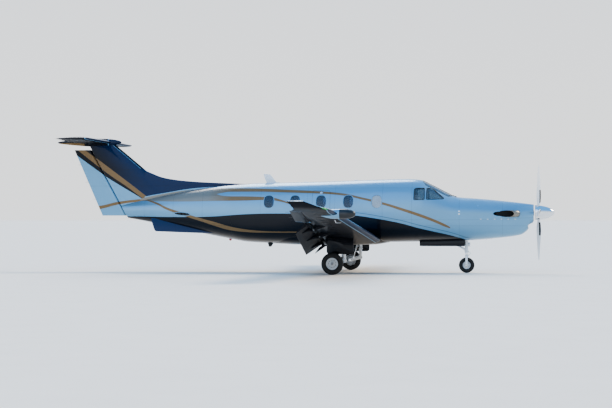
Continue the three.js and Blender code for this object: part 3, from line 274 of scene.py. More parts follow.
# Riveted skin: lines along a piece, seams across it, and the size of seams and rivets
BODY_LINES = (((-5400, 1800), (-1900, 2330), (3300, 2395), (3400, 2395)),
              ((-5400, 1690), (-1900, 1330), (4900, 1330)),
              ((5000, 1500), (6620, 1560)))
WING_LINES = (((870.3, 2035), (7500, 1700)), ((870.3, 1195), (7500, 1110)))
BODY_SEAMS = (5760, 4560, 3240, 2420, 1080, 300, -1040, -2760, -3650, -4540)
WING_SEAMS = (1620, 2480, 3350, 4260, 5250, 6100, 7000)
FIN_SEAMS = (2480, 2950, 3350)
TAILPLANE_SEAMS = (620, 1250, 1900)
SEAM_WIDTH = 3
SEAM_SHADE = 0.35
FAR_SEAM = 9000
RIVET_PITCH = 28
RIVET_OFFSET = 16
RIVET_RADIUS = 4

# Half width of the soft edge of masked paint, and how metallic its flakes make a pale colour
PAINT_EDGE = 2.5
FLAKE_METAL = 0.5
# Heat tints along the exhaust, and the stations in metres between which they run
HEAT_TINTS = ((0.0, "#2a2725"), (0.35, "#3c3c4a"), (0.6, "#6a5540"), (0.85, "#8f8a80"))
HEAT_REACH = (5.6, 6.2)


# Numbers and outlines


def to_linear(code):
    """Linear RGBA of an sRGB hex colour."""
    channels = [int(code[i:i + 2], 16) / 255 for i in (1, 3, 5)]
    return tuple(c / 12.92 if c <= 0.04045 else ((c + 0.055) / 1.055) ** 2.4 for c in channels) + (1.0,)


def mix(a, b, share):
    return a + (b - a) * share


def steps(start, end, count):
    """Evenly spaced values from a start to an end."""
    return [mix(start, end, i / count) for i in range(count + 1)]


def around(count):
    """Cosine and sine at even turns round a circle."""
    return [(math.cos(2 * math.pi * k / count), math.sin(2 * math.pi * k / count)) for k in range(count)]


def bent(value, power):
    """Power of a value that keeps its sign."""
    return math.copysign(abs(value) ** power, value)


def at(x, y, z):
    """Place in metres from millimetres."""
    return Vector((x, y, z)) * MM


class SmoothLine:
    """A value that runs smoothly through (position, value) points and doesn't overshoot them."""

    def __init__(self, points):
        self.points = sorted(points)
        rises = [(b[1] - a[1]) / (b[0] - a[0]) for a, b in zip(self.points, self.points[1:])]
        self.slopes = [rises[0]]
        for before, after in zip(rises, rises[1:]):
            self.slopes.append(0 if before * after <= 0 else 2 * before * after / (before + after))
        self.slopes.append(rises[-1])

    def __call__(self, position):
        points = self.points
        last = len(points) - 2
        i = next((k for k in range(last) if position <= points[k + 1][0]), last)
        (x0, y0), (x1, y1) = points[i], points[i + 1]
        span = x1 - x0
        t = min(1, max(0, (position - x0) / span))
        rise = y1 - y0
        a = self.slopes[i] * span - rise
        b = rise - self.slopes[i + 1] * span
        return mix(y0, y1, t) + t * (1 - t) * ((1 - t) * a + t * b)


def curves(rows):
    """A smooth line for each column of a table, over its first one."""
    return [SmoothLine([(row[0], row[k]) for row in rows]) for k in range(1, len(rows[0]))]


BODY = curves(STATIONS)


def half_body(x, z_up, inset=0.0):
    """Middle height, half width, reach and power of the fuselage's upper or lower half."""
    top, bottom, half, wide, upper, lower = (line(x) for line in BODY)
    reach, power = (top - wide, upper) if z_up else (bottom - wide, lower)
    return wide, half - inset, reach - math.copysign(inset, reach), power


def body_ring(x, inset=0.0):
    """Superellipse ring of the fuselage at x, drawn in from the skin by the inset."""
    ring = []
    for c, s in around(BODY_SIDES):
        wide, half, reach, power = half_body(x, s >= 0, inset)
        ring.append(at(x, half * bent(c, 2 / power), wide + abs(reach) * bent(s, 2 / power)))
    return ring


def side_y(x, z, inset=0.0):
    """Half width of the fuselage at a station and height."""
    above_wide = z >= half_body(x, True)[0]
    wide, half, reach, power = half_body(x, above_wide)
    up = min(1, abs(z - wide) / (abs(reach) - inset))
    return (half - inset) * (1 - up ** power) ** (1 / power)


def skin_z(x, y, z_up, inset=0.0):
    """Height of the roof or the belly at a station and distance from the middle."""
    wide, half, reach, power = half_body(x, z_up, inset)
    return wide + reach * (1 - min(1, abs(y) / half) ** power) ** (1 / power)


def roof_z(x, y, inset=0.0):
    return skin_z(x, y, True, inset)


def belly_z(x, y=0.0):
    return skin_z(x, y, False)


def oval(x, z, reach, height, power=2.0, tilt=0.0, count=32):
    """Oval outline with a superellipse's power, turned by an angle in degrees."""
    turn = math.radians(tilt)
    points = [(reach * bent(c, 2 / power), height * bent(s, 2 / power)) for c, s in around(count)]
    return [(x + u * math.cos(turn) - v * math.sin(turn), z + u * math.sin(turn) + v * math.cos(turn))
            for u, v in points]


def window_outline(x, grow=0.0):
    """Rounded outline of a cabin window in (x, z), grown by a margin."""
    reach, height = WINDOW["width"] / 2 + grow, WINDOW["height"] / 2 + grow
    return oval(x, WINDOW["z"], reach, height, WINDOW["power"], count=48)


def rectangle(u0, u1, v0, v1):
    return [(u0, v0), (u1, v0), (u1, v1), (u0, v1)]


def rounded(outline, radius, parts=6):
    """Outline with its corners replaced by arcs."""
    result = []
    for i, corner in enumerate(outline):
        here = Vector(corner)
        to_before = Vector(outline[i - 1]) - here
        to_after = Vector(outline[(i + 1) % len(outline)]) - here
        reach = min(radius, to_before.length * 0.45, to_after.length * 0.45)
        start, end = here + to_before.normalized() * reach, here + to_after.normalized() * reach
        result += [tuple(start * (1 - t) ** 2 + here * 2 * t * (1 - t) + end * t ** 2)
                   for t in steps(0, 1, parts)]
    return result


def offset(outline, distance):
    """Outline moved outwards by a distance."""
    after = outline[1:] + outline[:1]
    area = sum(a[0] * b[1] - b[0] * a[1] for a, b in zip(outline, after))
    reach = math.copysign(distance, distance * area)
    result = []
    for i, (u, v) in enumerate(outline):
        along = (Vector(after[i]) - Vector(outline[i - 1])).normalized()
        result.append((u + along.y * reach, v - along.x * reach))
    return result


def finely(outline, step=22):
    """Outline with points added along its long sides, so that it can follow a curved skin."""
    result = []
    for start, end in zip(outline, outline[1:] + outline[:1]):
        parts = max(1, math.ceil((Vector(end) - Vector(start)).length / step))
        result += [tuple(mix(a, b, k / parts) for a, b in zip(start, end)) for k in range(parts)]
    return result


def door_outline(door, margin):
    """Outline of a door in (x, z), drawn in by a margin."""
    sides = (door["aft"] + margin, door["front"] - margin, door["bottom"] + margin, door["top"] - margin)
    return rounded(rectangle(*sides), door["corner"] - margin)


# Shapes: each is a pair of points and faces


def loft(rings, ends=True):
    """Closed skin through rings of as many points each. Without ends the last ring meets the first."""
    count = len(rings[0])
    points = [p for ring in rings for p in ring]
    faces = []
    for r in range(len(rings) if not ends else len(rings) - 1):
        base, other = r * count, (r + 1) % len(rings) * count
        faces += [(base + i, base + (i + 1) % count, other + (i + 1) % count, other + i)
                  for i in range(count)]
    if ends:
        last = len(points) - count
        faces += [tuple(range(count - 1, -1, -1)), tuple(range(last, last + count))]
    return points, faces


def merged(*shapes):
    points, faces = [], []
    for shape_points, shape_faces in shapes:
        base = len(points)
        points += shape_points
        faces += [tuple(base + i for i in face) for face in shape_faces]
    return points, faces


def mapped(shape, function):
    return [function(p) for p in shape[0]], shape[1]


def mirrored(shape):
    return [Vector((p.x, -p.y, p.z)) for p in shape[0]], [tuple(reversed(face)) for face in shape[1]]


def sided(shape, side):
    return shape if side == "left" else mirrored(shape)


def both(*shapes):
    shape = merged(*shapes)
    return merged(shape, mirrored(shape))


def turned(shape, centre, axis, degrees):
    """Shape turned about a line through a centre in metres."""
    turn = Matrix.Rotation(math.radians(degrees), 3, Vector(axis))
    return mapped(shape, lambda p: centre + turn @ (p - centre))


def prism(outline, low, high, plane="xz"):
    """Prism with an outline in millimetres in a plane, between two values of the third axis."""
    places = {"xz": lambda u, v, w: at(u, w, v), "xy": at, "yz": lambda u, v, w: at(w, u, v)}
    return loft([[places[plane](u, v, w) for u, v in outline] for w in (low, high)])


def block(x0, x1, y0, y1, z0, z1):
    return prism(rectangle(x0, x1, y0, y1), z0, z1, "xy")


def tube(path, radius, sides=16):
    """Round bar along points in millimetres. The radius may be one number or one for each point."""
    spots = [at(*p) for p in path]
    radii = radius if isinstance(radius, (list, tuple)) else [radius] * len(spots)
    rings = []
    side = None
    for i, spot in enumerate(spots):
        along = (spots[min(i + 1, len(spots) - 1)] - spots[max(i - 1, 0)]).normalized()
        side = side or along.orthogonal().normalized()
        side = (side - along * side.dot(along)).normalized()
        up = along.cross(side)
        rings.append([spot + (side * c + up * s) * radii[i] * MM for c, s in around(sides)])
    return loft(rings)


def turning_rings(profile, centre, sides, axis):
    """Rings round an axis for (distance along it, radius) pairs, all in millimetres."""
    places = {"x": lambda d, a, b: (d, a, b),
              "y": lambda d, a, b: (b, d, a),
              "z": lambda d, a, b: (a, b, d)}
    middle = at(*centre)
    return [[middle + at(*places[axis](distance, radius * c, radius * s)) for c, s in around(sides)]
            for distance, radius in profile]


def spindle(profile, centre, sides=48, axis="x"):
    """Body of revolution about an axis."""
    return loft(turning_rings(profile, centre, sides, axis))


def hoop(profile, centre, sides=48, axis="x"):
    """Ring of revolution with a closed section."""
    return loft(turning_rings(profile, centre, sides, axis), False)


def drum(low, high, radius, centre, sides, axis="y"):
    """Plain cylinder for a boss or a hole."""
    return spindle([(low, 0), (low, radius), (high, radius), (high, 0)], centre, sides, axis)


# Objects


def made(name, shape, finishes, angle=CREASE_ANGLE, body="airframe", slot=None, replaced=(), bevel=None):
    """Object of a shape with its finishes, on a body of the frame. A bevel is a width and its steps."""
    mesh = bpy.data.meshes.new(name)
    mesh.from_pydata([tuple(p) for p in shape[0]], [], shape[1])
    piece = bpy.data.objects.new(name, mesh)
    bpy.context.scene.collection.objects.link(piece)
    for one in [finishes] if isinstance(finishes, str) else finishes:
        mesh.materials.append(finish(one))
    work = bmesh.new()
    work.from_mesh(mesh)
    bmesh.ops.remove_doubles(work, verts=work.verts, dist=1e-6)
    bmesh.ops.dissolve_degenerate(work, edges=work.edges, dist=1e-6)
    bmesh.ops.recalc_face_normals(work, faces=work.faces)
    work.to_mesh(mesh)
    work.free()
    smoothed(mesh, angle)
    if bevel:
        bevelled(piece, *bevel)
    if slot:
        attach(piece, body)
    if replaced:
        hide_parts(*replaced)
    return piece


def pair(name, shape, *options, body="airframe", replaced=(), **more):
    """Two mirrored objects. In a name, {} stands for the side."""
    return [made(name.format(side), sided(shape, side), *options, body=body.format(side),
                 replaced=[node_name.format(side) for node_name in replaced], **more) for side in SIDES]


def smoothed(mesh, angle):
    """Shades a mesh smooth up to an angle between its faces."""
    mesh.shade_smooth()
    mesh.set_sharp_from_angle(angle=math.radians(angle))


def applied(piece, angle=CREASE_ANGLE):
    """The object with its modifiers made part of its mesh."""
    bpy.context.view_layer.update()
    result = piece.evaluated_get(bpy.context.evaluated_depsgraph_get())
    mesh = bpy.data.meshes.new_from_object(result)
    mesh.name = piece.name
    old = piece.data
    piece.modifiers.clear()
    piece.data = mesh
    bpy.data.meshes.remove(old)
    smoothed(mesh, angle)
    return piece


def carved(piece, shape, operation="DIFFERENCE", angle=CREASE_ANGLE):
    """The object cut by, joined to or kept within a shape."""
    tool = made("carving_tool", shape, ())
    step = piece.modifiers.new("carve", "BOOLEAN")
    step.operation = operation
    step.solver = "EXACT"
    step.object = tool
    applied(piece, angle)
    mesh = tool.data
    bpy.data.objects.remove(tool)
    bpy.data.meshes.remove(mesh)
    return piece


def bevelled(piece, width, segments=2):
    """The object with its sharp edges rounded by a width in millimetres."""
    step = piece.modifiers.new("round", "BEVEL")
    step.width = width * MM
    step.segments = segments
    step.limit_method = "ANGLE"
    step.angle_limit = math.radians(CREASE_ANGLE)
    step.harden_normals = False
    return applied(piece)


def skin(name, shape, finishes, cutter, chooser=None, operation="DIFFERENCE", angle=CREASE_ANGLE, **more):
    """Object carved by a cutter. A chooser gives its faces their finishes."""
    piece = carved(made(name, shape, finishes, angle, **more), cutter, operation, angle)
    return spread(piece, chooser) if chooser else piece


def spread(piece, chooser):
    """Gives each face the material slot that the chooser names for its middle and normal."""
    for face in piece.data.polygons:
        face.material_index = chooser(face.center, face.normal)
    return piece


# Shader nodes and materials


MIX_COLOURS = {"data_type": "RGBA", "out": 2}
# Sockets of a node that mixes colours
SHARE, UNDER, OVER = 0, 6, 7


def join(target, inputs):
    """Links or sets the inputs of a node."""
    for key, value in inputs.items():
        socket = target.inputs[key]
        if isinstance(value, bpy.types.NodeSocket):
            target.id_data.links.new(value, socket)
        else:
            socket.default_value = value


def node(tree, kind, *values, out=0, **settings):
    """Adds a shader node with its settings and inputs, and returns one of its outputs.

    The inputs are values in the order of the sockets, or one dict of values by socket.
    """
    added = tree.nodes.new("ShaderNode" + kind)
    for key, value in settings.items():
        setattr(added, key, value)
    join(added, values[0] if values and isinstance(values[0], dict) else dict(enumerate(values)))
    return added.outputs[out]


def new_material(name):
    """New material, the call that adds a node to it, and its place on the object in metres."""
    material = bpy.data.materials.new(name)
    material.use_nodes = True
    add = functools.partial(node, material.node_tree)
    return material, add, add("TexCoord", out="Object")


def coated(material, **values):
    """The material with its shader's sockets set or linked, by names with underscores for spaces."""
    shader = material.node_tree.nodes["Principled BSDF"]
    join(shader, {key.replace("_", " "): value for key, value in values.items()})
    return material


def line_height(add, along, points):
    """Height in metres of a drawn line at a position in metres along it."""
    low_x, low_z = (min(values) for values in zip(*points))
    high_x, high_z = (max(values) for values in zip(*points))
    height = add("FloatCurve", {"Value": add("MapRange", along, low_x * MM, high_x * MM)})
    curve = height.node.mapping
    line = curve.curves[0]
    rise = max(1, high_z - low_z)
    spots = [((x - low_x) / (high_x - low_x), (z - low_z) / rise) for x, z in sorted(points)]
    line.points[0].location = spots[0]
    line.points[1].location = spots[-1]
    for spot in spots[1:-1]:
        line.points.new(*spot)
    for point in line.points:
        point.handle_type = "AUTO_CLAMPED"
    curve.update()
    return add("MapRange", height, 0, 1, low_z * MM, high_z * MM)


def above(add, along, across, points, under=0, over=1):
    """1 where a place is above a drawn line and 0 under it, with an edge as thin as masked paint."""
    gap = add("Math", across, line_height(add, along, points), operation="SUBTRACT")
    edge = PAINT_EDGE * MM
    return add("MapRange", gap, -edge, edge, under, over, interpolation_type="SMOOTHSTEP")


def overlap(add, *masks):
    """Mask of what all the masks cover."""
    return functools.reduce(lambda a, b: add("Math", a, b, operation="MULTIPLY"), masks)


def band(add, along, across, top, bottom):
    """1 between two drawn lines. It ends where the shorter line does."""
    over = above(add, along, across, bottom)
    inside = add("Math", over, above(add, along, across, top), operation="SUBTRACT", use_clamp=True)
    started = add("Math", along, max(min(top)[0], min(bottom)[0]) * MM, operation="GREATER_THAN")
    going = add("Math", along, min(max(top)[0], max(bottom)[0]) * MM, operation="LESS_THAN")
    return overlap(add, inside, started, going)


def nearest(add, gaps):
    """The smallest of some distances, on either side."""
    sizes = [add("Math", gap, operation="ABSOLUTE") for gap in gaps]
    return functools.reduce(lambda a, b: add("Math", a, b, operation="MINIMUM"), sizes)


def skin_relief(add, along, across, seams, lines):
    """Mask of a riveted skin outside its seams, and its height with flush rivets beside them."""
    seam = nearest(add, [add("Math", along, spot * MM, operation="SUBTRACT") for spot in seams])
    gaps = [add("Math", across, line_height(add, along, line), operation="SUBTRACT") for line in lines]
    skin = add("MapRange", nearest(add, [seam] + gaps), 0, SEAM_WIDTH * MM)
    u = add("Math", seam, RIVET_OFFSET * MM, operation="SUBTRACT")
    v = add("Math", across, RIVET_PITCH / 2 * MM, operation="PINGPONG")
    reach = add("VectorMath", add("CombineXYZ", u, v), operation="LENGTH", out="Value")
    rivet = add("MapRange", reach, RIVET_RADIUS * 0.6 * MM, RIVET_RADIUS * MM)
    return skin, overlap(add, skin, rivet)


def aircraft_paint(name, base, layers=(), seams=(FAR_SEAM,), seam_axis="x", lines=(), coat=0.8,
                   roughness=0.28):
    """Two-stage polyurethane paint: a coat with fine metal flakes under a clear gloss coat.

    The flakes give the colour a soft sparkle, and the clear coat gives it sharp highlights. Each layer is
    (colour, mask function), laid over the one before as masked stripes are.
    """
    material, add, place = new_material(name)
    x, y, z = add("SeparateXYZ", place).node.outputs
    colour = base
    for tint, mask in layers:
        colour = add("Mix", {SHARE: mask(add, x, y, z), UNDER: colour, OVER: tint}, **MIX_COLOURS)
    # Flakes are about 0.1 mm and are drawn 3 mm wide, because finer ones don't show in the render
    flake = add("TexNoise", {"Vector": place, "Scale": 1 / (3 * MM), "Detail": 1.0})
    cloud = add("TexNoise", {"Vector": place, "Scale": 1 / (700 * MM)})
    shade = add("Math", add("MapRange", cloud, 0, 1, 0.95, 1.04),
                add("MapRange", flake, 0, 1, -0.035, 0.035), operation="ADD")
    if seam_axis == "y":
        y = add("Math", y, operation="ABSOLUTE")
    along, across = {"x": (x, z), "y": (y, x), "z": (z, x)}[seam_axis]
    skin, relief = skin_relief(add, along, across, seams, lines)
    shade = overlap(add, shade, add("MapRange", skin, 0, 1, SEAM_SHADE, 1))
    colour = add("Mix", {SHARE: 1.0, UNDER: colour, OVER: shade}, blend_type="MULTIPLY", **MIX_COLOURS)
    # Orange peel of sprayed paint, about 10 mm from crest to crest
    peel = add("TexNoise", {"Vector": place, "Scale": 1 / (10 * MM), "Detail": 1.0})
    height = add("Math", relief, add("MapRange", peel, 0, 1, 0, 0.06), operation="ADD")
    # The darker the colour, the less aluminium flake is in it
    flakes = add("MapRange", add("RGBToBW", colour), 0.02, 0.4, 0, FLAKE_METAL)
    return coated(material, Base_Color=colour, Metallic=flakes, Roughness=roughness, IOR=1.45,
                  Specular_IOR_Level=0.15, Coat_Weight=coat, Coat_Roughness=0.03, Coat_IOR=1.45,
                  Normal=add("Bump", {"Height": height, "Distance": 0.6 * MM, "Strength": 0.6}))


def surface(name, shades, rough, cloud, relief, depth, firmness=0.5, stretch=(1, 1, 1), **constants):
    """Material with a fine relief, whose colour and roughness drift over a coarse cloud.

    The cloud has a size in millimetres, a detail and a roughness. The relief has a kind of pattern, a
    size and a depth in millimetres.
    """
    material, add, place = new_material(name)
    place = add("Mapping", {"Vector": place, "Scale": stretch})
    size, detail, fade = cloud
    drift = add("TexNoise", {"Vector": place, "Scale": 1 / (size * MM), "Detail": detail,
                             "Roughness": fade})
    tone = add("Mix", {SHARE: drift, UNDER: shades[0], OVER: shades[1]}, **MIX_COLOURS)
    kind, fine = relief
    crests = add(kind, {"Vector": place, "Scale": 1 / (fine * MM)})
    bump = add("Bump", {"Height": crests, "Distance": depth * MM, "Strength": firmness})
    return coated(material, Base_Color=tone, Roughness=add("MapRange", drift, 0, 1, *rough), Normal=bump,
                  **constants)


def tones(code, low, high):
    """Two tones of a colour, darker and paler by a share."""
    return [tuple(c * (1 + share) for c in to_linear(code)[:3]) + (1.0,) for share in (low, high)]


def metal(name, code, roughness, size_mm, stretch=(1, 1, 1)):
    """Bare metal that handling has marked a little. Brushing stretches the marks along an axis."""
    return surface(name, tones(code, -0.08, 0.05), (roughness * 0.75, roughness * 1.3), (size_mm, 4.0, 0.6),
                   ("TexNoise", 6), 0.05, 0.4, stretch, Metallic=1.0)


def coating(name, code, roughness, peel_mm, ior=1.5, coat=0.0, worn=0.06):
    """Sprayed enamel or moulded plastic: an even colour with a fine texture and slight soiling."""
    return surface(name, tones(code, -worn, worn), (roughness * 0.85, roughness * 1.2), (160, 4.0, 0.6),
                   ("TexNoise", peel_mm), 0.15, IOR=ior, Coat_Weight=coat, Coat_Roughness=0.08)


def acrylic(name, code):
    """Stretched acrylic or laminated glazing, tinted: mirror-like outside, dim inside."""
    return surface(name, tones(code, 0, 0), (0.02, 0.05), (120, 2.0, 0.5), ("TexNoise", 120), 0.02, 0.1,
                   IOR=1.49, Transmission_Weight=0.85)


def lamp_lens(name, code, glow):
    """Moulded polycarbonate cover of a lamp: ribs 12 mm apart, faintly lit from within."""
    return surface(name, tones(code, -0.1, 0.2), (0.1, 0.14), (60, 2.0, 0.5), ("TexWave", 12), 0.5, 0.4,
                   IOR=1.58, Emission_Color=to_linear(code), Emission_Strength=glow)


def leather(name, code):
    """Tanned upholstery leather: pebbled grain about 4 mm across, softer shine on the crests."""
    return surface(name, tones(code, -0.12, 0.1), (0.42, 0.62), (120, 3.0, 0.5), ("TexVoronoi", 4), 0.4,
                   IOR=1.5)


def carpet():
    """Tufted wool carpet: loops 6 mm apart that scatter light, trodden darker in places."""
    return surface("tufted_wool_carpet", [to_linear("#4a443d"), to_linear("#6b645a")], (0.93, 0.97),
                   (9, 3.0, 0.6), ("TexVoronoi", 6), 2.0, 0.8, Sheen_Weight=0.4, Sheen_Roughness=0.5)


def tyre_rubber():
    """Vulcanised natural rubber: matte black, greyer where it has scrubbed on the ground."""
    return surface("vulcanised_tyre_rubber", [to_linear("#17171a"), to_linear("#2c2b2a")], (0.7, 0.92),
                   (45, 5.0, 0.65), ("TexNoise", 2.5), 0.25, 0.6, IOR=1.52)


def display_glass():
    """Coated glass of a display that is switched off: near black, with smears that dull it a little."""
    return surface("coated_display_glass", tones("#0c1016", 0, 0), (0.04, 0.14), (30, 3.0, 0.5),
                   ("TexNoise", 30), 0.02, 0.1, IOR=1.52)


def exhaust_metal():
    """Heat-tinted nickel alloy: straw to blue bands towards the mouth, with a film of soot."""
    material, add, place = new_material("heat_tinted_nickel_alloy")
    drift = add("TexNoise", {"Vector": place, "Scale": 1 / (60 * MM), "Detail": 4.0})
    wander = add("MapRange", drift, 0, 1, -0.04, 0.04)
    along = add("Math", add("SeparateXYZ", place), wander, operation="ADD")
    tint = add("ValToRGB", add("MapRange", along, *HEAT_REACH))
    bands = tint.node.color_ramp.elements
    bands.remove(bands[1])
    bands[0].color = to_linear(HEAT_TINTS[0][1])
    for position, code in HEAT_TINTS[1:]:
        bands.new(position).color = to_linear(code)
    marks = add("TexNoise", {"Vector": place, "Scale": 1 / (25 * MM), "Detail": 3.0})
    return coated(material, Base_Color=tint, Metallic=0.9, Roughness=add("MapRange", marks, 0, 1, 0.3, 0.5))


def studio_floor():
    """Sealed concrete floor of the studio: pale, matt, with a faint mottle."""
    settings = bpy.context.scene.aircraft_studio
    mottle = [tuple(colour) + (1.0,) for colour in (settings.floor_dark, settings.floor_pale)]
    return surface("sealed_pale_concrete", mottle, (0.9, 0.9), (900, 4.0, 0.55), ("TexNoise", 12), 0.3, 0.3,
                   IOR=1.3, Specular_IOR_Level=0.2)


def livery(name):
    """Colour of the aircraft's paint, as the user has set it."""
    return tuple(getattr(bpy.context.scene.aircraft_livery, name)) + (1.0,)


# Paint schemes: a mask takes the call that adds a node and the three coordinates of a place


def side_mask(top, bottom):
    """Mask between two lines in side view."""
    return lambda add, x, y, z: band(add, x, z, top, bottom)


def below_mask(line):
    """Mask under a line in side view."""
    return lambda add, x, y, z: above(add, x, z, line, 1, 0)


def boot_layers(code, inner, outer, depth, edge=20):
    """Rubber de-icing boot along a straight leading edge, with a silver line behind it that is a painted
    highlight along the sunlit edge.
    """
    def strip(reach):
        line = [(y, lead - reach) for y, lead in (inner, outer)]
        return lambda add, x, y, z: above(add, add("Math", y, operation="ABSOLUTE"), x, line)

    return [(livery("silver"), strip(depth + edge)), (to_linear(code), strip(depth))]


def wing_boot():
    inner, outer = ((row[0], row[1]) for row in WING_SECTIONS[:2])
    return boot_layers(BOOT_AND_SKY_REFLECTION_CODE, inner, outer, 105)


def dorsal_mask(add, x, y, z):
    """Mask of the tail cone's upper side, which is painted like the dorsal fin."""
    behind = add("Math", x, DORSAL_START * MM, operation="LESS_THAN")
    return overlap(add, above(add, x, z, DORSAL_EDGE), behind)


def stripe_mask(add, x, y, z):
    """Mask of the two upper stripes, which run together in one band towards the fin."""
    upper = band(add, x, z, UPPER_STRIPE_TOP, UPPER_STRIPE_BOTTOM)
    return add("Math", upper, band(add, x, z, SECOND_STRIPE_TOP, SECOND_STRIPE_BOTTOM), operation="MAXIMUM")


def band_mask(add, x, y, z):
    """Mask of the greyer colour that the band takes on towards the fin."""
    return overlap(add, stripe_mask(add, x, y, z), add("MapRange", x, SHADE_START * MM, SHADE_END * MM))


def pinstripe_mask(add, x, y, z):
    """Mask of the fine line above the navy belly."""
    lower = [(px, pz - 15) for px, pz in PINSTRIPE]
    return overlap(add, band(add, x, z, PINSTRIPE, lower), 0.6)


def fin_foot_mask(add, x, y, z):
    """Mask of the dorsal fin's foot, which is painted like the fuselage."""
    ahead = add("Math", x, DORSAL_STATIONS[-1][0] * MM, operation="GREATER_THAN")
    return overlap(add, above(add, x, z, DORSAL_EDGE, 1, 0), ahead)


def fin_fade_mask(add, x, y, z):
    """Mask that turns the fin from blue at the leading edge to navy behind it and towards its top."""
    lead = line_height(add, z, [(height, front) for height, front, _ in FIN_SECTIONS])
    behind = add("Math", lead, x, operation="SUBTRACT")
    return overlap(add, add("MapRange", behind, *FADE_BEHIND), add("MapRange", z, *FADE_HEIGHT))


def fin_strip(depth):
    """Mask of a strip along the fin's leading edge, above the dorsal fin."""
    line = [(z, lead - depth) for z, lead, _ in FIN_SECTIONS]
    return lambda add, x, y, z: overlap(
        add, above(add, z, x, line), add("Math", z, DORSAL_TOP_Z * MM, operation="GREATER_THAN"))


def tail_gold_mask(add, x, y, z):
    """Mask of the gold under the tailplane's aft end."""
    y = add("Math", y, operation="ABSOLUTE")
    places = ((x, TAIL_GOLD["aft"]), (z, TAIL_GOLD["top"]), (y, TAIL_GOLD["half"]))
    return overlap(add, *[add("Math", place, end * MM, operation="LESS_THAN") for place, end in places])


def body_paint():
    """Silver above navy, with gold stripes that run together towards the fin."""
    layers = [
        (livery("gold"), stripe_mask),
        (livery("gold_shade"), band_mask),
        (livery("blue"), pinstripe_mask),
        (livery("navy"), below_mask(SILVER_NAVY_EDGE)),
        (livery("gold"), side_mask(LOWER_STRIPE_TOP, LOWER_STRIPE_BOTTOM)),
        (livery("blue"), dorsal_mask),
    ]
    return aircraft_paint("body_polyurethane_paint", livery("silver"), layers, BODY_SEAMS, "x", BODY_LINES,
                          0.55)


def fin_paint():
    """Blue that fades to navy, with gold and silver fields that go on over the rudder."""
    layers = [
        (livery("navy"), fin_fade_mask),
        (livery("navy"), side_mask(FIN_GOLD_BOTTOM, FIN_SILVER_TOP)),
        (livery("silver"), below_mask(FIN_SILVER_TOP)),
        (livery("gold"), side_mask(FIN_GOLD_TOP, FIN_GOLD_BOTTOM)),
        (livery("gold"), side_mask(RUDDER_GOLD_TOP, RUDDER_GOLD_BOTTOM)),
        (livery("silver"), fin_foot_mask),
        (livery("gold_shade"), side_mask(UPPER_STRIPE_TOP, UPPER_STRIPE_BOTTOM)),
        # The silver line behind the fin's boot is a painted highlight along its sunlit edge
        (livery("silver"), fin_strip(92)),
        (to_linear(FIN_BOOT_CODE), fin_strip(78)),
    ]
    return aircraft_paint("fin_polyurethane_paint", livery("blue"), layers, FIN_SEAMS, "z", coat=0.3)


def wing_paint(name, colour, coat=0.8, roughness=0.28):
    """Wing skin with its boot and the painted highlight line behind it. Underneath, dust has taken its
    gloss.
    """
    return aircraft_paint(name, livery(colour), wing_boot(), WING_SEAMS, "y", WING_LINES, coat, roughness)


def tailplane_paint(name, coat, roughness):
    """Navy with a boot and a painted highlight line behind it, and gold under its aft end."""
    edge = [(row[0], row[1]) for row in TAILPLANE_SECTIONS[:2]]
    layers = [(livery("gold"), tail_gold_mask)] + boot_layers(BOOT_AND_SKY_REFLECTION_CODE, *edge, 75)
    return aircraft_paint(name, livery("navy"), layers, TAILPLANE_SEAMS, "y", (), coat, roughness)


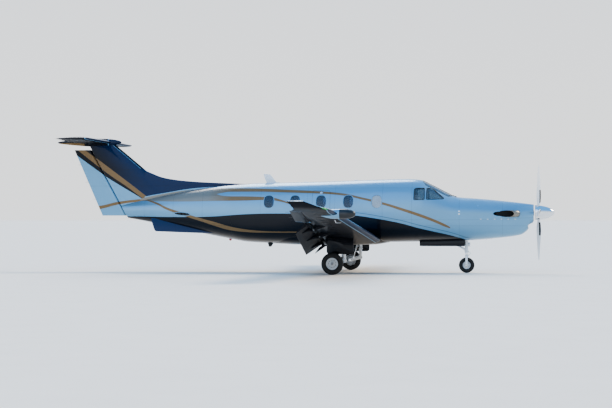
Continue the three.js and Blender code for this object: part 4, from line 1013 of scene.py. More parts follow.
FINISH_MAKERS = {
    "body": body_paint,
    "fin": fin_paint,
    "wing": lambda: wing_paint("wing_polyurethane_paint", "silver"),
    # Satin navy of the surfaces that face the ground: less gloss, with a film of dust
    "underside": lambda: wing_paint("satin_underside_polyurethane", "navy", 0.15, 0.5),
    "tailplane": lambda: tailplane_paint("tailplane_polyurethane_paint", 0.5, 0.35),
    # The same paint below, where dust and oil mist have taken its gloss
    "tailplane_underside": lambda: tailplane_paint("satin_tailplane_polyurethane", 0.05, 0.65),
    # Sprayed polyurethane of one colour: deep gloss under the clear coat
    "navy": lambda: aircraft_paint("navy_polyurethane_paint", livery("navy"), (), (-600, 400, 1500),
                                   coat=0.4),
    "flap": lambda: aircraft_paint("flap_polyurethane_paint", livery("navy"), (), (1620, 3350, 4260), "y",
                                   coat=0.15, roughness=0.5),
    "blue": lambda: aircraft_paint("blue_polyurethane_paint", livery("blue"), (), (-2900, -3600), coat=0.4),
    "silver": lambda: aircraft_paint("silver_polyurethane_paint", livery("silver")),
    # Buffed aluminium reflects like a mirror, with a slight haze
    "polished": lambda: metal("buffed_aluminium", "#e6e8ea", 0.12, 90),
    # Brushed aluminium: fine upright lines that draw its highlights out
    "brushed": lambda: metal("brushed_aluminium", "#c6c9cc", 0.3, 30, (1, 1, 0.05)),
    # Hard chrome of a shock strut's piston: the sharpest reflections on the aircraft
    "chrome": lambda: metal("hard_chrome", "#dfe1e3", 0.07, 60),
    # Turned steel: grey and half bright
    "steel": lambda: metal("machined_steel", "#8d9093", 0.35, 20),
    # Cast aluminium: a dull grey skin with a sandy texture
    "cast_metal": lambda: metal("cast_aluminium", "#7d8083", 0.55, 12),
    "exhaust": exhaust_metal,
    # Soot baked on the inside of the ducts swallows nearly all light. On the cooling outlet's mesh plate
    # the same near-black is painted shade of the hollow behind the mesh.
    "soot": lambda: coating("baked_exhaust_soot", "#121110", 0.9, 6, worn=0.3),
    # Baked enamel on the gear legs: white, smooth, a little soiled
    "gear_enamel": lambda: coating("baked_white_enamel", "#dfe3e6", 0.28, 9, coat=0.4, worn=0.1),
    # Baked enamel on the wheels: greyer from brake dust
    "wheel_enamel": lambda: coating("baked_wheel_enamel", "#c9ced2", 0.3, 7, coat=0.3, worn=0.12),
    # Sprayed paint that withstands grit: white with a low gloss
    "blade": lambda: coating("erosion_resistant_blade_paint", "#dcdfe1", 0.35, 6, worn=0.05),
    # Moulded rubber of the blades' boots: charcoal and matt
    "blade_boot": lambda: coating("moulded_blade_boot_rubber", "#222326", 0.55, 4, 1.52),
    # Moulded neoprene of the seals: black with a low sheen
    "rubber": lambda: coating("moulded_neoprene", "#1b1c1f", 0.5, 5, 1.52),
    # Extruded rubber of the brake hoses: smooth and black
    "hose": lambda: coating("extruded_hose_rubber", "#202124", 0.5, 6, 1.52),
    "tyre": tyre_rubber,
    # Stretched acrylic, blue-grey: the cabin behind it stays dim
    "cabin_glass": lambda: acrylic("tinted_stretched_acrylic", "#5b7f9f"),
    # Laminated glass with a heating film: a faint grey-green cast
    "cockpit_glass": lambda: acrylic("heated_laminated_glass", "#8ba0ae"),
    # Clear acrylic: shows the blind right behind it
    "clear_glass": lambda: acrylic("clear_stretched_acrylic", "#e4edf3"),
    # Pleated fabric blind: pale and matt
    "blind": lambda: coating("pleated_pale_blind", "#e3e6e8", 0.7, 6, 1.46),
    # Moulded lamp covers: strong colour with a soft inner glow
    "red_lens": lambda: lamp_lens("red_polycarbonate", "#a30d0d", 0.15),
    "green_lens": lambda: lamp_lens("green_polycarbonate", "#067a3a", 0.15),
    "clear_lens": lambda: lamp_lens("clear_polycarbonate", "#e8eef2", 0.2),
    # Sprayed radar-clear polyurethane: black with a soft gloss
    "radome": lambda: coating("black_radome_polyurethane", "#16181b", 0.38, 14, coat=0.3),
    # Gel-coated composite: white, smooth and glossy
    "white_composite": lambda: coating("gel_coated_composite", "#e3e8ec", 0.25, 12, coat=0.5),
    "seat_leather": lambda: leather("tanned_seat_leather", "#a8967a"),
    "glareshield": lambda: leather("stitched_glareshield_leather", "#232428"),
    "carpet": carpet,
    # Vacuum-formed trim panels of the cabin: warm ivory with a fine pebble
    "trim": lambda: coating("vacuum_formed_abs_trim", "#cfc6b4", 0.6, 4, 1.46),
    # Moulded ABS of the cockpit: charcoal with a fine pebble that kills reflections
    "dark_trim": lambda: coating("moulded_dark_abs", "#25272b", 0.55, 4, 1.46),
    # Vinyl on a fabric back lines the walls: warm grey and matt
    "lining": lambda: coating("fabric_backed_vinyl_lining", "#bdb5a6", 0.65, 5, 1.46),
    "display": display_glass,
    # Mineral grit in black resin on the steps: rough, it catches no highlight
    "tread": lambda: coating("grit_coated_tread", "#2a2b2d", 0.85, 3, 1.5),
    "floor": studio_floor,
}
FINISHES = {}


def finish(name):
    """Material of a name, made once."""
    if name not in FINISHES:
        FINISHES[name] = FINISH_MAKERS[name]()
    return FINISHES[name]


# Fuselage


def hollow_body(open_x, closed_x, inner_end_x, inset):
    """Fuselage shell between two stations, open at one end and closed at the other."""
    count = max(2, round(abs(closed_x - open_x) / RING_STEP))
    outer = [body_ring(x) for x in steps(open_x, closed_x, count)]
    inner = [body_ring(x, inset) for x in steps(open_x, inner_end_x, count)]
    return loft(inner[::-1] + outer)


def lining_chooser(centre, normal):
    """Slot 1 for faces that look inwards, and slot 0 for the rest."""
    x = min(max(centre.x / MM, TAIL_X), NOSE_X)
    away = Vector((0, centre.y, centre.z - half_body(x, True)[0] * MM)).normalized()
    return 1 if normal.dot(away) < -0.35 else 0


def side_panes(outline, grow=0.0):
    return prism(offset(rounded(outline, PANE_CORNER), grow), *CUTS["side_pane"])


def screen_pane(grow=0.0):
    return prism(offset(rounded(SCREEN_OUTLINE, PANE_CORNER), grow), *CUTS["screen"], "xy")


def window_prisms(starboard, port, grow=0.0):
    """Prisms through the windows of either side at their stations."""
    low, high = CUTS["window"]
    near = [prism(window_outline(x, grow), -high, -low) for x in starboard]
    return merged(*near, *[prism(window_outline(x, grow), low, high) for x in port])


def build_shell():
    """Cabin and cockpit with their openings, lined inside."""
    doors = [prism(door_outline(door, 0), *CUTS["door"]) for door in (AIRSTAIR, CARGO)]
    cockpit = both(screen_pane(), side_panes(REAR_PANE), side_panes(FRONT_PANE))
    openings = merged(cockpit, window_prisms(STARBOARD_WINDOWS, PORT_WINDOWS), *doors)
    skin("fuselage_shell_skin", cabin_wall(), ("body", "lining"), openings, lining_chooser,
         slot="silver_paint", replaced=("fuselage_shell",))


def cabin_wall():
    return hollow_body(AFT_FRAME_X, FIREWALL_X, FIREWALL_X - FIREWALL_DEPTH, CABIN_WALL)


def door_leaf(node_name, door):
    """Door cut out of the cabin's wall, trimmed inside."""
    outline = prism(door_outline(door, DOOR_GAP), *CUTS["door"])
    return skin(node_name + "_skin", cabin_wall(), ("body", "trim"), outline, lining_chooser, "INTERSECT",
                body=node_name, slot="silver_paint", replaced=(node_name,))


def hinge_x(z):
    return HINGE_LINE["x"] + HINGE_LINE["slope"] * (z - HINGE_LINE["z"])


def behind_hinge():
    """Room for the rudder and its round nose."""
    low, high, far, reach = 1000, 4200, -8500, 600
    ahead = RUDDER["base"] + NOSE_GAP
    outline = [(hinge_x(low) + ahead, low), (hinge_x(high) + ahead, high), (far, high), (far, low)]
    return prism(outline, -reach, reach)


def build_tail_cone():
    inner_end = HINGE_LINE["x"] + 140
    shell = hollow_body(AFT_FRAME_X - GAP, TAIL_X, inner_end, TAIL_WALL)
    skin("tail_cone_skin", shell, ("body", "lining"), behind_hinge(), lining_chooser,
         slot="silver_paint", replaced=("tail_cone",))


def exhaust_rings(wall, closed=False):
    """Sections of the exhaust duct, grown by a wall. A closed one is rounded off at its inner end."""
    xs, ys = curves([(i, x, y) for i, (x, y) in enumerate(EXHAUST_PATH)])
    count = EXHAUST["rings"]
    path = [Vector((xs(t), ys(t), EXHAUST["z"])) for t in steps(0, len(EXHAUST_PATH) - 1, count)]
    up = Vector((0, 0, 1))
    rings = []
    for i, spot in enumerate(path):
        along = (path[min(i + 1, count)] - path[max(i - 1, 0)]).normalized()
        across = up.cross(along) * (EXHAUST["half_width"] + wall)
        late = max(0, (i / count - 0.72) / 0.28) if closed else 0
        rise = up * (EXHAUST["half_height"] + wall) * math.sqrt(max(0.0009, 1 - late ** 2))
        rings.append([(spot + across * c + rise * s) * MM for c, s in around(EXHAUST["sides"])])
    return rings


def exhaust_scarf():
    """Everything outboard and aft of the duct's slanted mouth."""
    (fx, fy), (ax, ay) = EXHAUST["scarf_front"], EXHAUST["scarf_aft"]
    far_y = ay - 400 * (fy - ay) / (fx - ax)
    return prism([(fx, fy), (fx, fy + 400), (ax - 400, far_y + 800), (ax - 400, far_y)], 1400, 1950, "xy")


def build_cowling():
    """Cowling with its intake, its shaft hole and its exhaust holes."""
    shell = hollow_body(FIREWALL_X + GAP, NOSE_X, NOSE_X - 40, COWL_WALL)
    mouth = oval(0, INTAKE["z"], INTAKE["half_width"], INTAKE["half_height"], count=48)
    intake = prism(mouth, INTAKE["x"], INTAKE["x"] + 600, "yz")
    shaft = drum(6400, 6700, SHAFT_HOLE, (0, 0, SHAFT_Z), 48, "x")
    skin("engine_cowling_skin", shell, ("body", "dark_trim"),
         merged(intake, shaft, both(loft(exhaust_rings(2.3, True)))), cowl_chooser,
         slot="silver_paint", replaced=("engine_cowling",))
    build_intake_lip(mouth)
    shaft_spot = at(NOSE_X, 0, SHAFT_Z)
    rim = body_ring(NOSE_X)
    hole = [shaft_spot + (p - shaft_spot) * 0.55 for p in rim]
    rings = [[p + at(lift, 0, 0) for p in ring]
             for ring, lift in ((rim, 0.5), (rim, 2.5), (hole, 2.5), (hole, 0.5))]
    made("cowling_front_ring", loft(rings, False), "silver", 40, slot="silver_paint")


def cowl_chooser(centre, normal):
    """Slot 1 for the inside of the cowling and the walls of its openings, and slot 0 for the skin."""
    x, y, z = centre / MM
    x = min(x, NOSE_X - 1)
    depth = 1.5 if x < INTAKE["x"] else 6
    return 1 if lining_chooser(centre, normal) or (
        abs(y) < side_y(x, z) - depth and belly_z(x, y) + 6 < z < COWL_SHOULDER) else 0


def build_intake_lip(mouth):
    """Rolled metal lip that lies round the intake's mouth on the chin."""
    spots = [Vector((chin_x(y, z), y, z)) for y, z in offset(mouth, -2)]
    rings = []
    for i, spot in enumerate(spots):
        along = (spots[(i + 1) % len(spots)] - spots[i - 1]).normalized()
        out = Vector((0, spot.y, spot.z - INTAKE["z"])).normalized()
        front = along.cross(out)
        rings.append([(spot + (out * c + front * s) * 9) * MM for c, s in around(12)])
    made("intake_lip", loft(rings, False), "polished", slot="polished_alloy")


def chin_x(y, z):
    """Station where the cowling's skin passes a height and half width, from the nose back."""
    x = NOSE_X
    while x > INTAKE["x"] and (side_y(x, z) < abs(y) or z < belly_z(x)):
        x -= 2
    return min(x, NOSE_X - 12)


# Doors


def stair_part(low, high, near, far, ends):
    """Board inside the airstair door, between two heights and two distances in from the skin."""
    xs = steps(AIRSTAIR["aft"] + ends, AIRSTAIR["front"] - ends, 8)
    z = (low + high) / 2
    outline = [(x, side_y(x, z, CABIN_WALL + near)) for x in xs]
    outline += [(x, side_y(x, z, CABIN_WALL + far)) for x in reversed(xs)]
    return prism(outline, low, high, "xy")


def build_airstair():
    door_leaf("airstair_door", AIRSTAIR)
    heights = steps(AIRSTAIR["bottom"], AIRSTAIR["top"], STAIR_STEPS + 1)[1:-1]
    half = STEP_THICK / 2
    treads = [stair_part(z - half, z + half, -12, STEP_DEPTH, 70) for z in heights]
    grips = [stair_part(z + half - 1, z + half + 2, 20, STEP_DEPTH - 15, 90) for z in heights]
    rails = [tube([(x, side_y(x, z, CABIN_WALL + 6), z) for z in range(1240, 2340, 50)], 11, 12)
             for x in (AIRSTAIR["aft"] + 55, AIRSTAIR["front"] - 55)]
    parts = (
        ("airstair_steps", merged(*treads), "brushed", "silver_paint", (3, 2)),
        ("airstair_grips", merged(*grips), "tread", "dark_trim", None),
        ("airstair_stringers", merged(*rails), "brushed", "silver_paint", None),
        ("airstair_handle", door_handle(*AIRSTAIR_HANDLE), "polished", "polished_alloy", None),
    )
    for name, shape, look, slot, bevel in parts:
        made(name, shape, look, body="airstair_door", slot=slot, bevel=bevel)


def door_handle(x, z):
    """Flush latch handle in a shallow dish on the port skin."""
    spot = side_spot(1)
    dish = skin_plate(oval(x, z, 62, 26, count=28), spot, ((0, 2), (0, -1.5), (-6, -1.5), (-7, 0)))
    ends = [spot(u, z, -2) / MM for u in (x - 44, x + 44)]
    return merged(dish, tube(ends, 7, 12))


def build_cargo_door():
    """Door with its window. A hollow round the hinge line keeps its upper edge clear of the shell."""
    hinge = (0, CARGO_HINGE["y"], CARGO_HINGE["z"])
    relief = drum(CARGO["aft"], CARGO["front"], CARGO_HINGE["relief"], hinge, 32, "x")
    door = carved(door_leaf("cargo_door", CARGO), merged(window_prisms((), CARGO_WINDOWS), relief))
    spread(door, lining_chooser)
    made("cargo_door_handle", door_handle(*CARGO_HANDLE), "polished", body="cargo_door",
         slot="polished_alloy")


# Glazing


def body_layer(x0, x1, near, far):
    """Closed layer of the fuselage between two insets."""
    spots = steps(x0, x1, max(2, round((x1 - x0) / RING_STEP)))
    return loft([body_ring(x, near) for x in spots] + [body_ring(x, far) for x in reversed(spots)], False)


def build_cockpit_glass():
    layer = body_layer(3240, 4460, 10, 28)
    cutters = {"windscreen": screen_pane(-0.6), "side_window_front": side_panes(FRONT_PANE, -0.6),
               "side_window_rear": side_panes(REAR_PANE, -0.6)}
    for kind, cutter in cutters.items():
        for side in SIDES:
            name = f"{kind}_{side}"
            skin(name + "_pane", layer, "cockpit_glass", sided(cutter, side), operation="INTERSECT",
                 slot="acrylic_glazing", replaced=(name,))


def build_cabin_glass():
    layer = body_layer(-1000, 2480, 7, 15)
    near, far, aft = STARBOARD_WINDOWS, PORT_WINDOWS, CARGO_WINDOWS
    panes = (
        ("cabin_window_panes", "cabin_glass", near[1:], far, "airframe"),
        ("foremost_window_pane", "clear_glass", near[:1], (), "airframe"),
        ("cargo_door_window_pane", "cabin_glass", (), aft, "cargo_door"),
    )
    for name, glass, starboard, port, body in panes:
        skin(name, layer, glass, window_prisms(starboard, port, -0.5), operation="INTERSECT", body=body,
             slot="acrylic_glazing")


def side_spot(side):
    """Place on the skin from a station, a height and an inset. The side is 1 to port, or -1."""
    return lambda u, v, inset: at(u, side * side_y(u, v, inset), v)


def roof_spot(side):
    return lambda u, v, inset: at(u, side * v, roof_z(u, v, inset))


def frame_ring(outline, spot, rows):
    """Closed ring along an outline on the skin. Rows are (grown by, inset) pairs round its section."""
    return loft([[spot(u, v, inset) for u, v in offset(outline, grow)] for grow, inset in rows], False)


def skin_plate(outline, spot, rows=((0, 1), (0, -2), (-3, -3))):
    """Thin plate that lies on the skin, from (grown by, inset) pairs."""
    return loft([[spot(u, v, inset) for u, v in offset(outline, grow)] for grow, inset in rows])


def build_window_frames():
    """Rims of the cabin windows, seals of the cockpit's panes, and a blind that is drawn down."""
    near, far, aft = ([frame_ring(window_outline(x), side_spot(side), RIM_ROWS) for x in row]
                      for row, side in ((STARBOARD_WINDOWS, -1), (PORT_WINDOWS, 1), (CARGO_WINDOWS, 1)))
    made("cabin_window_rims", merged(*near, *far), "silver", slot="silver_paint")
    made("cargo_door_window_rim", merged(*aft), "silver", body="cargo_door", slot="silver_paint")
    panes = ((REAR_PANE, side_spot(1)), (FRONT_PANE, side_spot(1)), (SCREEN_OUTLINE, roof_spot(1)))
    seals = [frame_ring(finely(rounded(outline, PANE_CORNER)), spot, SEAL_ROWS) for outline, spot in panes]
    made("cockpit_pane_seals", both(*seals), "rubber", slot="dark_trim")
    blind = skin_plate(window_outline(STARBOARD_WINDOWS[0], -4), side_spot(-1), ((0, 17), (0, 22)))
    made("drawn_window_blind", blind, "blind", slot="cabin_trim")


# Cabin


def cushion(box, crown, channels, up="z"):
    """Padded block with a crowned face, pulled-in corners and sewn channels across it."""
    low, high = Vector(box[::2]), Vector(box[1::2])
    middle, half = (low + high) / 2, (high - low) / 2
    outline = [(bent(c, 0.32), bent(s, 0.32)) for c, s in around(80)]
    layers = [(w, max(0.86, max(0, 1 - abs(w) ** 4) ** 0.25)) for w in steps(-1, 1, 8)]
    layers += [(1, edge) for edge in (0.8, 0.6, 0.4, 0.2, 0.04)]

    def shaped(p):
        u, v, w = p
        dome = (1 - min(1, abs(u)) ** 2.4) * (1 - min(1, abs(v)) ** 2.4)
        sewn = abs(math.sin(math.pi * (u + 1) / 2 * channels)) ** 0.35 if channels else 1
        rise = crown * dome * (0.45 + 0.55 * sewn) if w > 0.9 else 0
        if up == "x":
            spot = Vector((w * half.x + rise, v * half.y, -u * half.z))
        else:
            spot = Vector((u * half.x, v * half.y, w * half.z + rise))
        return (middle + spot) * MM

    return mapped(loft([[(u * edge, v * edge, w) for u, v in outline] for w, edge in layers]), shaped)


def build_seats():
    """Padded seats on metal frames, turned to face each other in the cabin."""
    z = FLOOR_TOP
    for name, x, y, turn in SEATS:
        def posed(shape):
            return turned(shape, at(x, y, 0), (0, 0, 1), turn)

        back = turned(cushion((x - 288, x - 188, y - 210, y + 210, z + 300, z + 868), 18, 5, "x"),
                      at(x - 230, 0, z + 300), (0, 1, 0), -12)
        pads = {
            "cushion": (cushion((x - 225, x + 245, y - 215, y + 215, z + 205, z + 345), 24, 4), 0.7),
            "back": (back, 0.7),
            "headrest": (cushion((x - 398, x - 312, y - 126, y + 126, z + 836, z + 956), 10, 0, "x"), 0.8),
        }
        for part, (shape, fill) in pads.items():
            pad = made(f"{name}_{part}", posed(shape), "seat_leather", 60, slot="seat_leather",
                       replaced=(name,) if part == "cushion" else ())
        bars = [tube([(x + dx, y + dy, z + 1), (x + dx * 0.8, y + dy, z + 210)], 14, 12)
                for dx in (-140, 140) for dy in (-110, 110)]
        bars += [block(x - 150, x + 150, y + dy - 12, y + dy + 12, z + 1, z + 14) for dy in (-110, 110)]
        bars += [tube([(x - 300, y + dy, z + 780), (x - 352, y + dy, z + 860)], 6, 10) for dy in (-60, 60)]
        bars.append(block(x - 210, x + 225, y - 200, y + 200, z + 190, z + 212))
        made(f"{name}_frame", posed(merged(*bars)), "cast_metal", slot="seat_leather")


def build_panel():
    """Displays, knobs and a padded shield on the instrument panel, and levers behind it."""
    dress_cad("instrument_panel", "dark_trim")
    aft, low, high, border = PANEL["aft"], PANEL["low"], PANEL["high"], 9
    bezels, screens = [], []
    for y in PANEL["displays"]:
        half = 92 if y else 84
        outside = rounded(rectangle(y - half, y + half, low, high), 14)
        bezels.append(prism(outside, aft - 12, aft + 2, "yz"))
        half -= border
        glass = rounded(rectangle(y - half, y + half, low + border, high - border), 6)
        screens.append(prism(glass, aft - 14, aft - 11, "yz"))
    knobs = [spindle([(aft - 20, 0), (aft - 20, 9), (aft - 1, 11), (aft, 0)], (0, y, z), 20)
             for y in range(-420, 421, 70) for z in (1900, 1660)]
    grip = [(-16, 0), (-14, 13), (14, 13), (16, 0)]
    levers = [tube([(3930, y, 1560), (3915, y, 1650)], [5, 6], 10) for y in LEVER_PLACES]
    levers += [spindle(grip, (3915, y, 1662), 16, "z") for y in LEVER_PLACES]
    made("panel_bezels", merged(*bezels), "dark_trim", slot="dark_trim", bevel=(2,))
    made("panel_displays", merged(*screens), "display", slot="dark_trim")
    made("panel_knobs", merged(*knobs), "cast_metal", slot="dark_trim")
    made("power_levers", merged(*levers), "cast_metal", slot="dark_trim")
    rim = [(aft + 10, y, PANEL["top"] - 10 - 30 * (y / 560) ** 2) for y in range(-560, 561, 40)]
    made("glareshield_pad", tube(rim, 22, 14), "glareshield", 60, slot="dark_trim")


def dress_cad(name, finish_name):
    """Gives a CAD node that stays in view its material."""
    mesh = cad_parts[name].data
    mesh.materials.clear()
    mesh.materials.append(finish(finish_name))


# Engine, exhaust and propeller


def build_exhaust():
    """Open ducts with slanted mouths, sooty inside."""
    duct = loft(exhaust_rings(0) + exhaust_rings(-EXHAUST["wall"])[::-1], False)
    scarf = exhaust_scarf()
    for side in SIDES:
        name = f"exhaust_stack_{side}"
        skin(name + "_duct", sided(duct, side), ("exhaust", "soot"), sided(scarf, side), duct_chooser,
             slot="heat_tinted_steel", replaced=(name,))


def duct_chooser(centre, normal):
    """Slot 1 for the duct's sooty inside, and slot 0 for its outside and the rim of its mouth."""
    (fx, fy), (ax, ay) = EXHAUST["scarf_front"], EXHAUST["scarf_aft"]
    mouth = Vector((ay - fy, fx - ax)).normalized()
    if mouth.dot(Vector((normal.x, math.copysign(normal.y, normal.y * centre.y)))) > 0.999:
        return 0
    spots = [at(x, math.copysign(y, centre.y), EXHAUST["z"]) for x, y in EXHAUST_PATH]
    away = []
    for start, end in zip(spots, spots[1:]):
        share = (centre - start).dot(end - start) / (end - start).length_squared
        away.append(centre - mix(start, end, min(1, max(0, share))))
    return 1 if normal.dot(min(away, key=lambda a: a.length)) < 0 else 0


def build_propeller():
    """Polished spinner with sockets for the blades, and blades with rubber boots."""
    back, radius = SPINNER["back"], SPINNER["radius"]
    shaft = (0, 0, SHAFT_Z)

    def bladed(shape):
        return merged(*[turned(shape, at(PROPELLER_X, 0, SHAFT_Z), (1, 0, 0), 360 / BLADE_COUNT * i)
                        for i in range(BLADE_COUNT)])

    profile = [(back, 0), (back, radius - 4), (back + 6, radius)]
    for t in steps(0, math.pi / 2, 28)[1:]:
        share = math.sin(t)
        profile.append((mix(back, SPINNER["tip"], share), radius * math.sqrt(max(0, 1 - share ** 1.75))))
    socket = tube([(PROPELLER_X, 0, SHAFT_Z + 120), (PROPELLER_X, 0, SHAFT_Z + 300)], 50, 32)
    skin("propeller_spinner_cone", spindle(profile, shaft, 96), "polished", bladed(socket),
         body="propeller", slot="polished_alloy", replaced=("propeller_spinner",))
    plate = [(back + x, r) for x, r in ((-3, 120), (-3, radius + 1), (3, radius + 1), (3, 120))]
    made("spinner_backplate", hoop(plate, shaft, 96), "steel", body="propeller", slot="polished_alloy")
    rings = blade_rings()
    hub = drum(back + 7, HUB["front"], HUB["radius"], shaft, 48, "x")
    made("propeller_blade_set", merged(bladed(loft(rings)), hub), "blade", 50, "propeller", "blade_paint",
         ("propeller_blades",))
    booted = [ring for ring in rings if BOOT_REACH[0] < ring[0].z / MM - SHAFT_Z < BOOT_REACH[1]]
    boot = glove(booted, 6, Vector((0, 0, -1)), 1.2, 3)
    made("propeller_blade_boots", bladed(boot), "blade_boot", 50, "propeller", "blade_paint")


def glove(rings, reach, axis, out, depth):
    """Thin cover round the leading edge of section rings that start at that edge."""
    covers = []
    for ring in rings:
        outside, inside = [], []
        for k in range(-reach, reach + 1):
            normal = (ring[k + 1] - ring[k - 1]).cross(axis).normalized()
            outside.append(ring[k] + normal * out * MM)
            inside.append(ring[k] - normal * depth * MM)
        covers.append(outside + inside[::-1])
    return loft(covers)


def blade_rings():
    """Sections of a blade that stands up from the hub, round at the leading edge and fine at the other."""
    lines = curves(BLADE_SECTIONS)
    rings = []
    for r in steps(BLADE_SECTIONS[0][0], BLADE_SECTIONS[-1][0], 48):
        chord, thick, pitch = (line(r) for line in lines)
        shank = min(1, max(0, (330 - r) / 150))
        sine, cosine = math.sin(math.radians(pitch)), math.cos(math.radians(pitch))
        ring = []
        for c, s in around(28):
            across = chord / 2 * c
            deep = thick / 2 * s * mix(max(0.14, 0.55 + 0.45 * c), 1, shank)
            x, y = PROPELLER_X + across * sine + deep * cosine, across * cosine - deep * sine
            ring.append(at(x, y, SHAFT_Z + r))
        rings.append(ring)
    return rings


# Wing


class Section:
    """Wing or tailplane section at a span station. Its shares and heights are parts of its chord."""

    def __init__(self, y, lead, chord, z, thick, cant, camber):
        self.y = y
        self.lead = lead
        self.chord = chord
        self.z = z
        self.thick = thick
        self.cant = math.radians(cant)
        self.camber = camber

    def half(self, share):
        """Half of the thickness."""
        curve = 0.2969 * math.sqrt(share) - 0.126 * share
        curve += -0.3516 * share ** 2 + 0.2843 * share ** 3 - 0.1036 * share ** 4
        return 5 * self.thick * curve + BLUNT_EDGE * share

    def line(self, share, side=0):
        """Height of the upper line (side 1), the middle line (0) or the lower line (-1)."""
        return 4 * self.camber * share * (1 - share) + side * self.half(share)

    def x(self, share):
        return self.lead - share * self.chord

    def point(self, share, height):
        rise = height * self.chord
        return at(self.x(share), self.y - rise * math.sin(self.cant), self.z + rise * math.cos(self.cant))

    def ring(self):
        """Points from the trailing edge over the top to the leading edge and back underneath."""
        ring = []
        for i in range(-PROFILE_STEPS, PROFILE_STEPS + 1):
            share = (1 - math.cos(math.pi * abs(i) / PROFILE_STEPS)) / 2
            ring.append(self.point(share, self.line(share, 1 if i < 0 else -1)))
        return ring


def section_row(sections, y):
    """Table row at a span station, between the two rows around it."""
    outer = next((k for k in range(1, len(sections)) if sections[k][0] >= y), len(sections) - 1)
    before, after = sections[outer - 1:outer + 1]
    share = (y - before[0]) / (after[0] - before[0])
    return [mix(low, high, share) for low, high in zip(before, after)]


def section_at(sections, y):
    return Section(*section_row(sections, y))


def tip_section(y):
    """Section of the curled wing tip, which bends smoothly through its table rows."""
    rows = [section_row(WING_SECTIONS, WING_TIP_START)] + list(WING_SECTIONS[1:])
    return Section(y, *[line(y) for line in curves(rows)])


def hinge_share(device, section):
    return device["hinge"] if "hinge" in device else (section.lead - device["hinge_x"]) / section.chord


def control_surface(sections, device):
    """Control surface between two span stations, with a round nose about its hinge line."""
    rings = []
    for y in steps(device["inner"], device["outer"], 8):
        section = section_at(sections, y)
        hinge = hinge_share(device, section)
        radius, middle = section.half(hinge), section.line(hinge)
        shares = steps(1, hinge, 8)[:-1]
        nose = [section.point(hinge - radius * math.sin(angle), middle + radius * math.cos(angle))
                for angle in steps(0, math.pi, 12)]
        rings.append([section.point(share, section.line(share, 1)) for share in shares] + nose
                     + [section.point(share, section.line(share, -1)) for share in reversed(shares)])
    return loft(rings)


def hinge_bay(sections, device):
    """Room for a control surface in the wing or tailplane that carries it."""
    outline = []
    for y in (device["inner"] - END_GAP, device["outer"] + END_GAP):
        section = section_at(sections, y)
        hinge = hinge_share(device, section)
        outline.append((section.x(hinge) + section.half(hinge) * section.chord + NOSE_GAP, y))
    outline += [(x - 1500, y) for x, y in reversed(outline)]
    return prism(outline, 500, 5000, "xy")


def flap_bay():
    """Room for the flap, under the shroud and behind its lip."""
    start, end = FLAP["shroud_from"], FLAP["shroud_to"]
    rings = []
    for y in (FLAP["inner"] - END_GAP - 30, FLAP["outer"] + END_GAP):
        section = section_at(WING_SECTIONS, max(y, WING_SECTIONS[0][0]))
        roof = [(section.x(share), section.z + section.line(share, 1) * section.chord - FLAP["lip"])
                for share in (start, mix(start, end, 0.5), end)]
        low, high, far = section.z - 400, section.z + 400, section.x(1.3)
        outline = [(roof[0][0], low)] + roof + [(roof[2][0], high), (far, high), (far, low)]
        rings.append([at(u, y, v) for u, v in outline])
    return loft(rings)


def flap_shape():
    """Flap in its retracted place, slimmed where it lies under the shroud."""
    clear = FLAP["lip"] + DOOR_GAP
    shroud = FLAP["shroud_to"]
    rings = []
    for y in steps(FLAP["inner"], FLAP["outer"], 12):
        section = section_at(WING_SECTIONS, y)
        chord = section.chord
        nose = FLAP["shroud_from"] + NOSE_GAP / chord

        def top(share, less=0.0):
            return section.line(share, 1) - less / chord

        def low(share, more=0.0):
            return section.line(share, -1) + more / chord

        middle = (top(nose + 0.03, clear) + low(nose + 0.03)) / 2
        outline = [(share, top(share)) for share in (1.0, 0.975, 0.95, 0.925, shroud + 0.02)]
        outline.append((shroud - 0.002, top(shroud, clear)))
        outline += [(share, top(share, clear)) for share in (0.86, 0.84, 0.82, nose + 0.07)]
        outline += [(nose + reach, top(nose + reach, clear + drop))
                    for reach, drop in ((0.045, 4), (0.02, 16), (0.006, 34))]
        outline += [(nose, middle), (nose + 0.004, mix(middle, low(nose + 0.012), 0.6))]
        outline += [(nose + reach, low(nose + reach, lift)) for reach, lift in ((0.012, 18), (0.024, 5))]
        outline += [(share, low(share)) for share in (nose + 0.04, nose + 0.07, 0.85, 0.9, 0.95, 1.0)]
        rings.append([section.point(*spot) for spot in outline])
    return loft(rings)


def flap_hinge():
    """A point on the flap's hinge line in metres, and its direction."""
    ends = []
    for y in (FLAP["inner"], FLAP["outer"]):
        section = section_at(WING_SECTIONS, y)
        ends.append(section.point(FLAP["pivot"], section.line(FLAP["pivot"], -1)) - at(0, 0, FLAP["drop"]))
    return ends[0], (ends[1] - ends[0]).normalized()


def wing_floor(x, y):
    """Height of the wing's lower surface at a place."""
    section = section_at(WING_SECTIONS, max(y, WING_SECTIONS[0][0]))
    share = min(1, max(0.001, (section.lead - x) / section.chord))
    return section.z + section.line(share, -1) * section.chord


def faces_down(centre, normal):
    """Slot 1 for the faces that look at the ground, and slot 0 for the rest."""
    return 1 if normal.z < -0.1 else 0


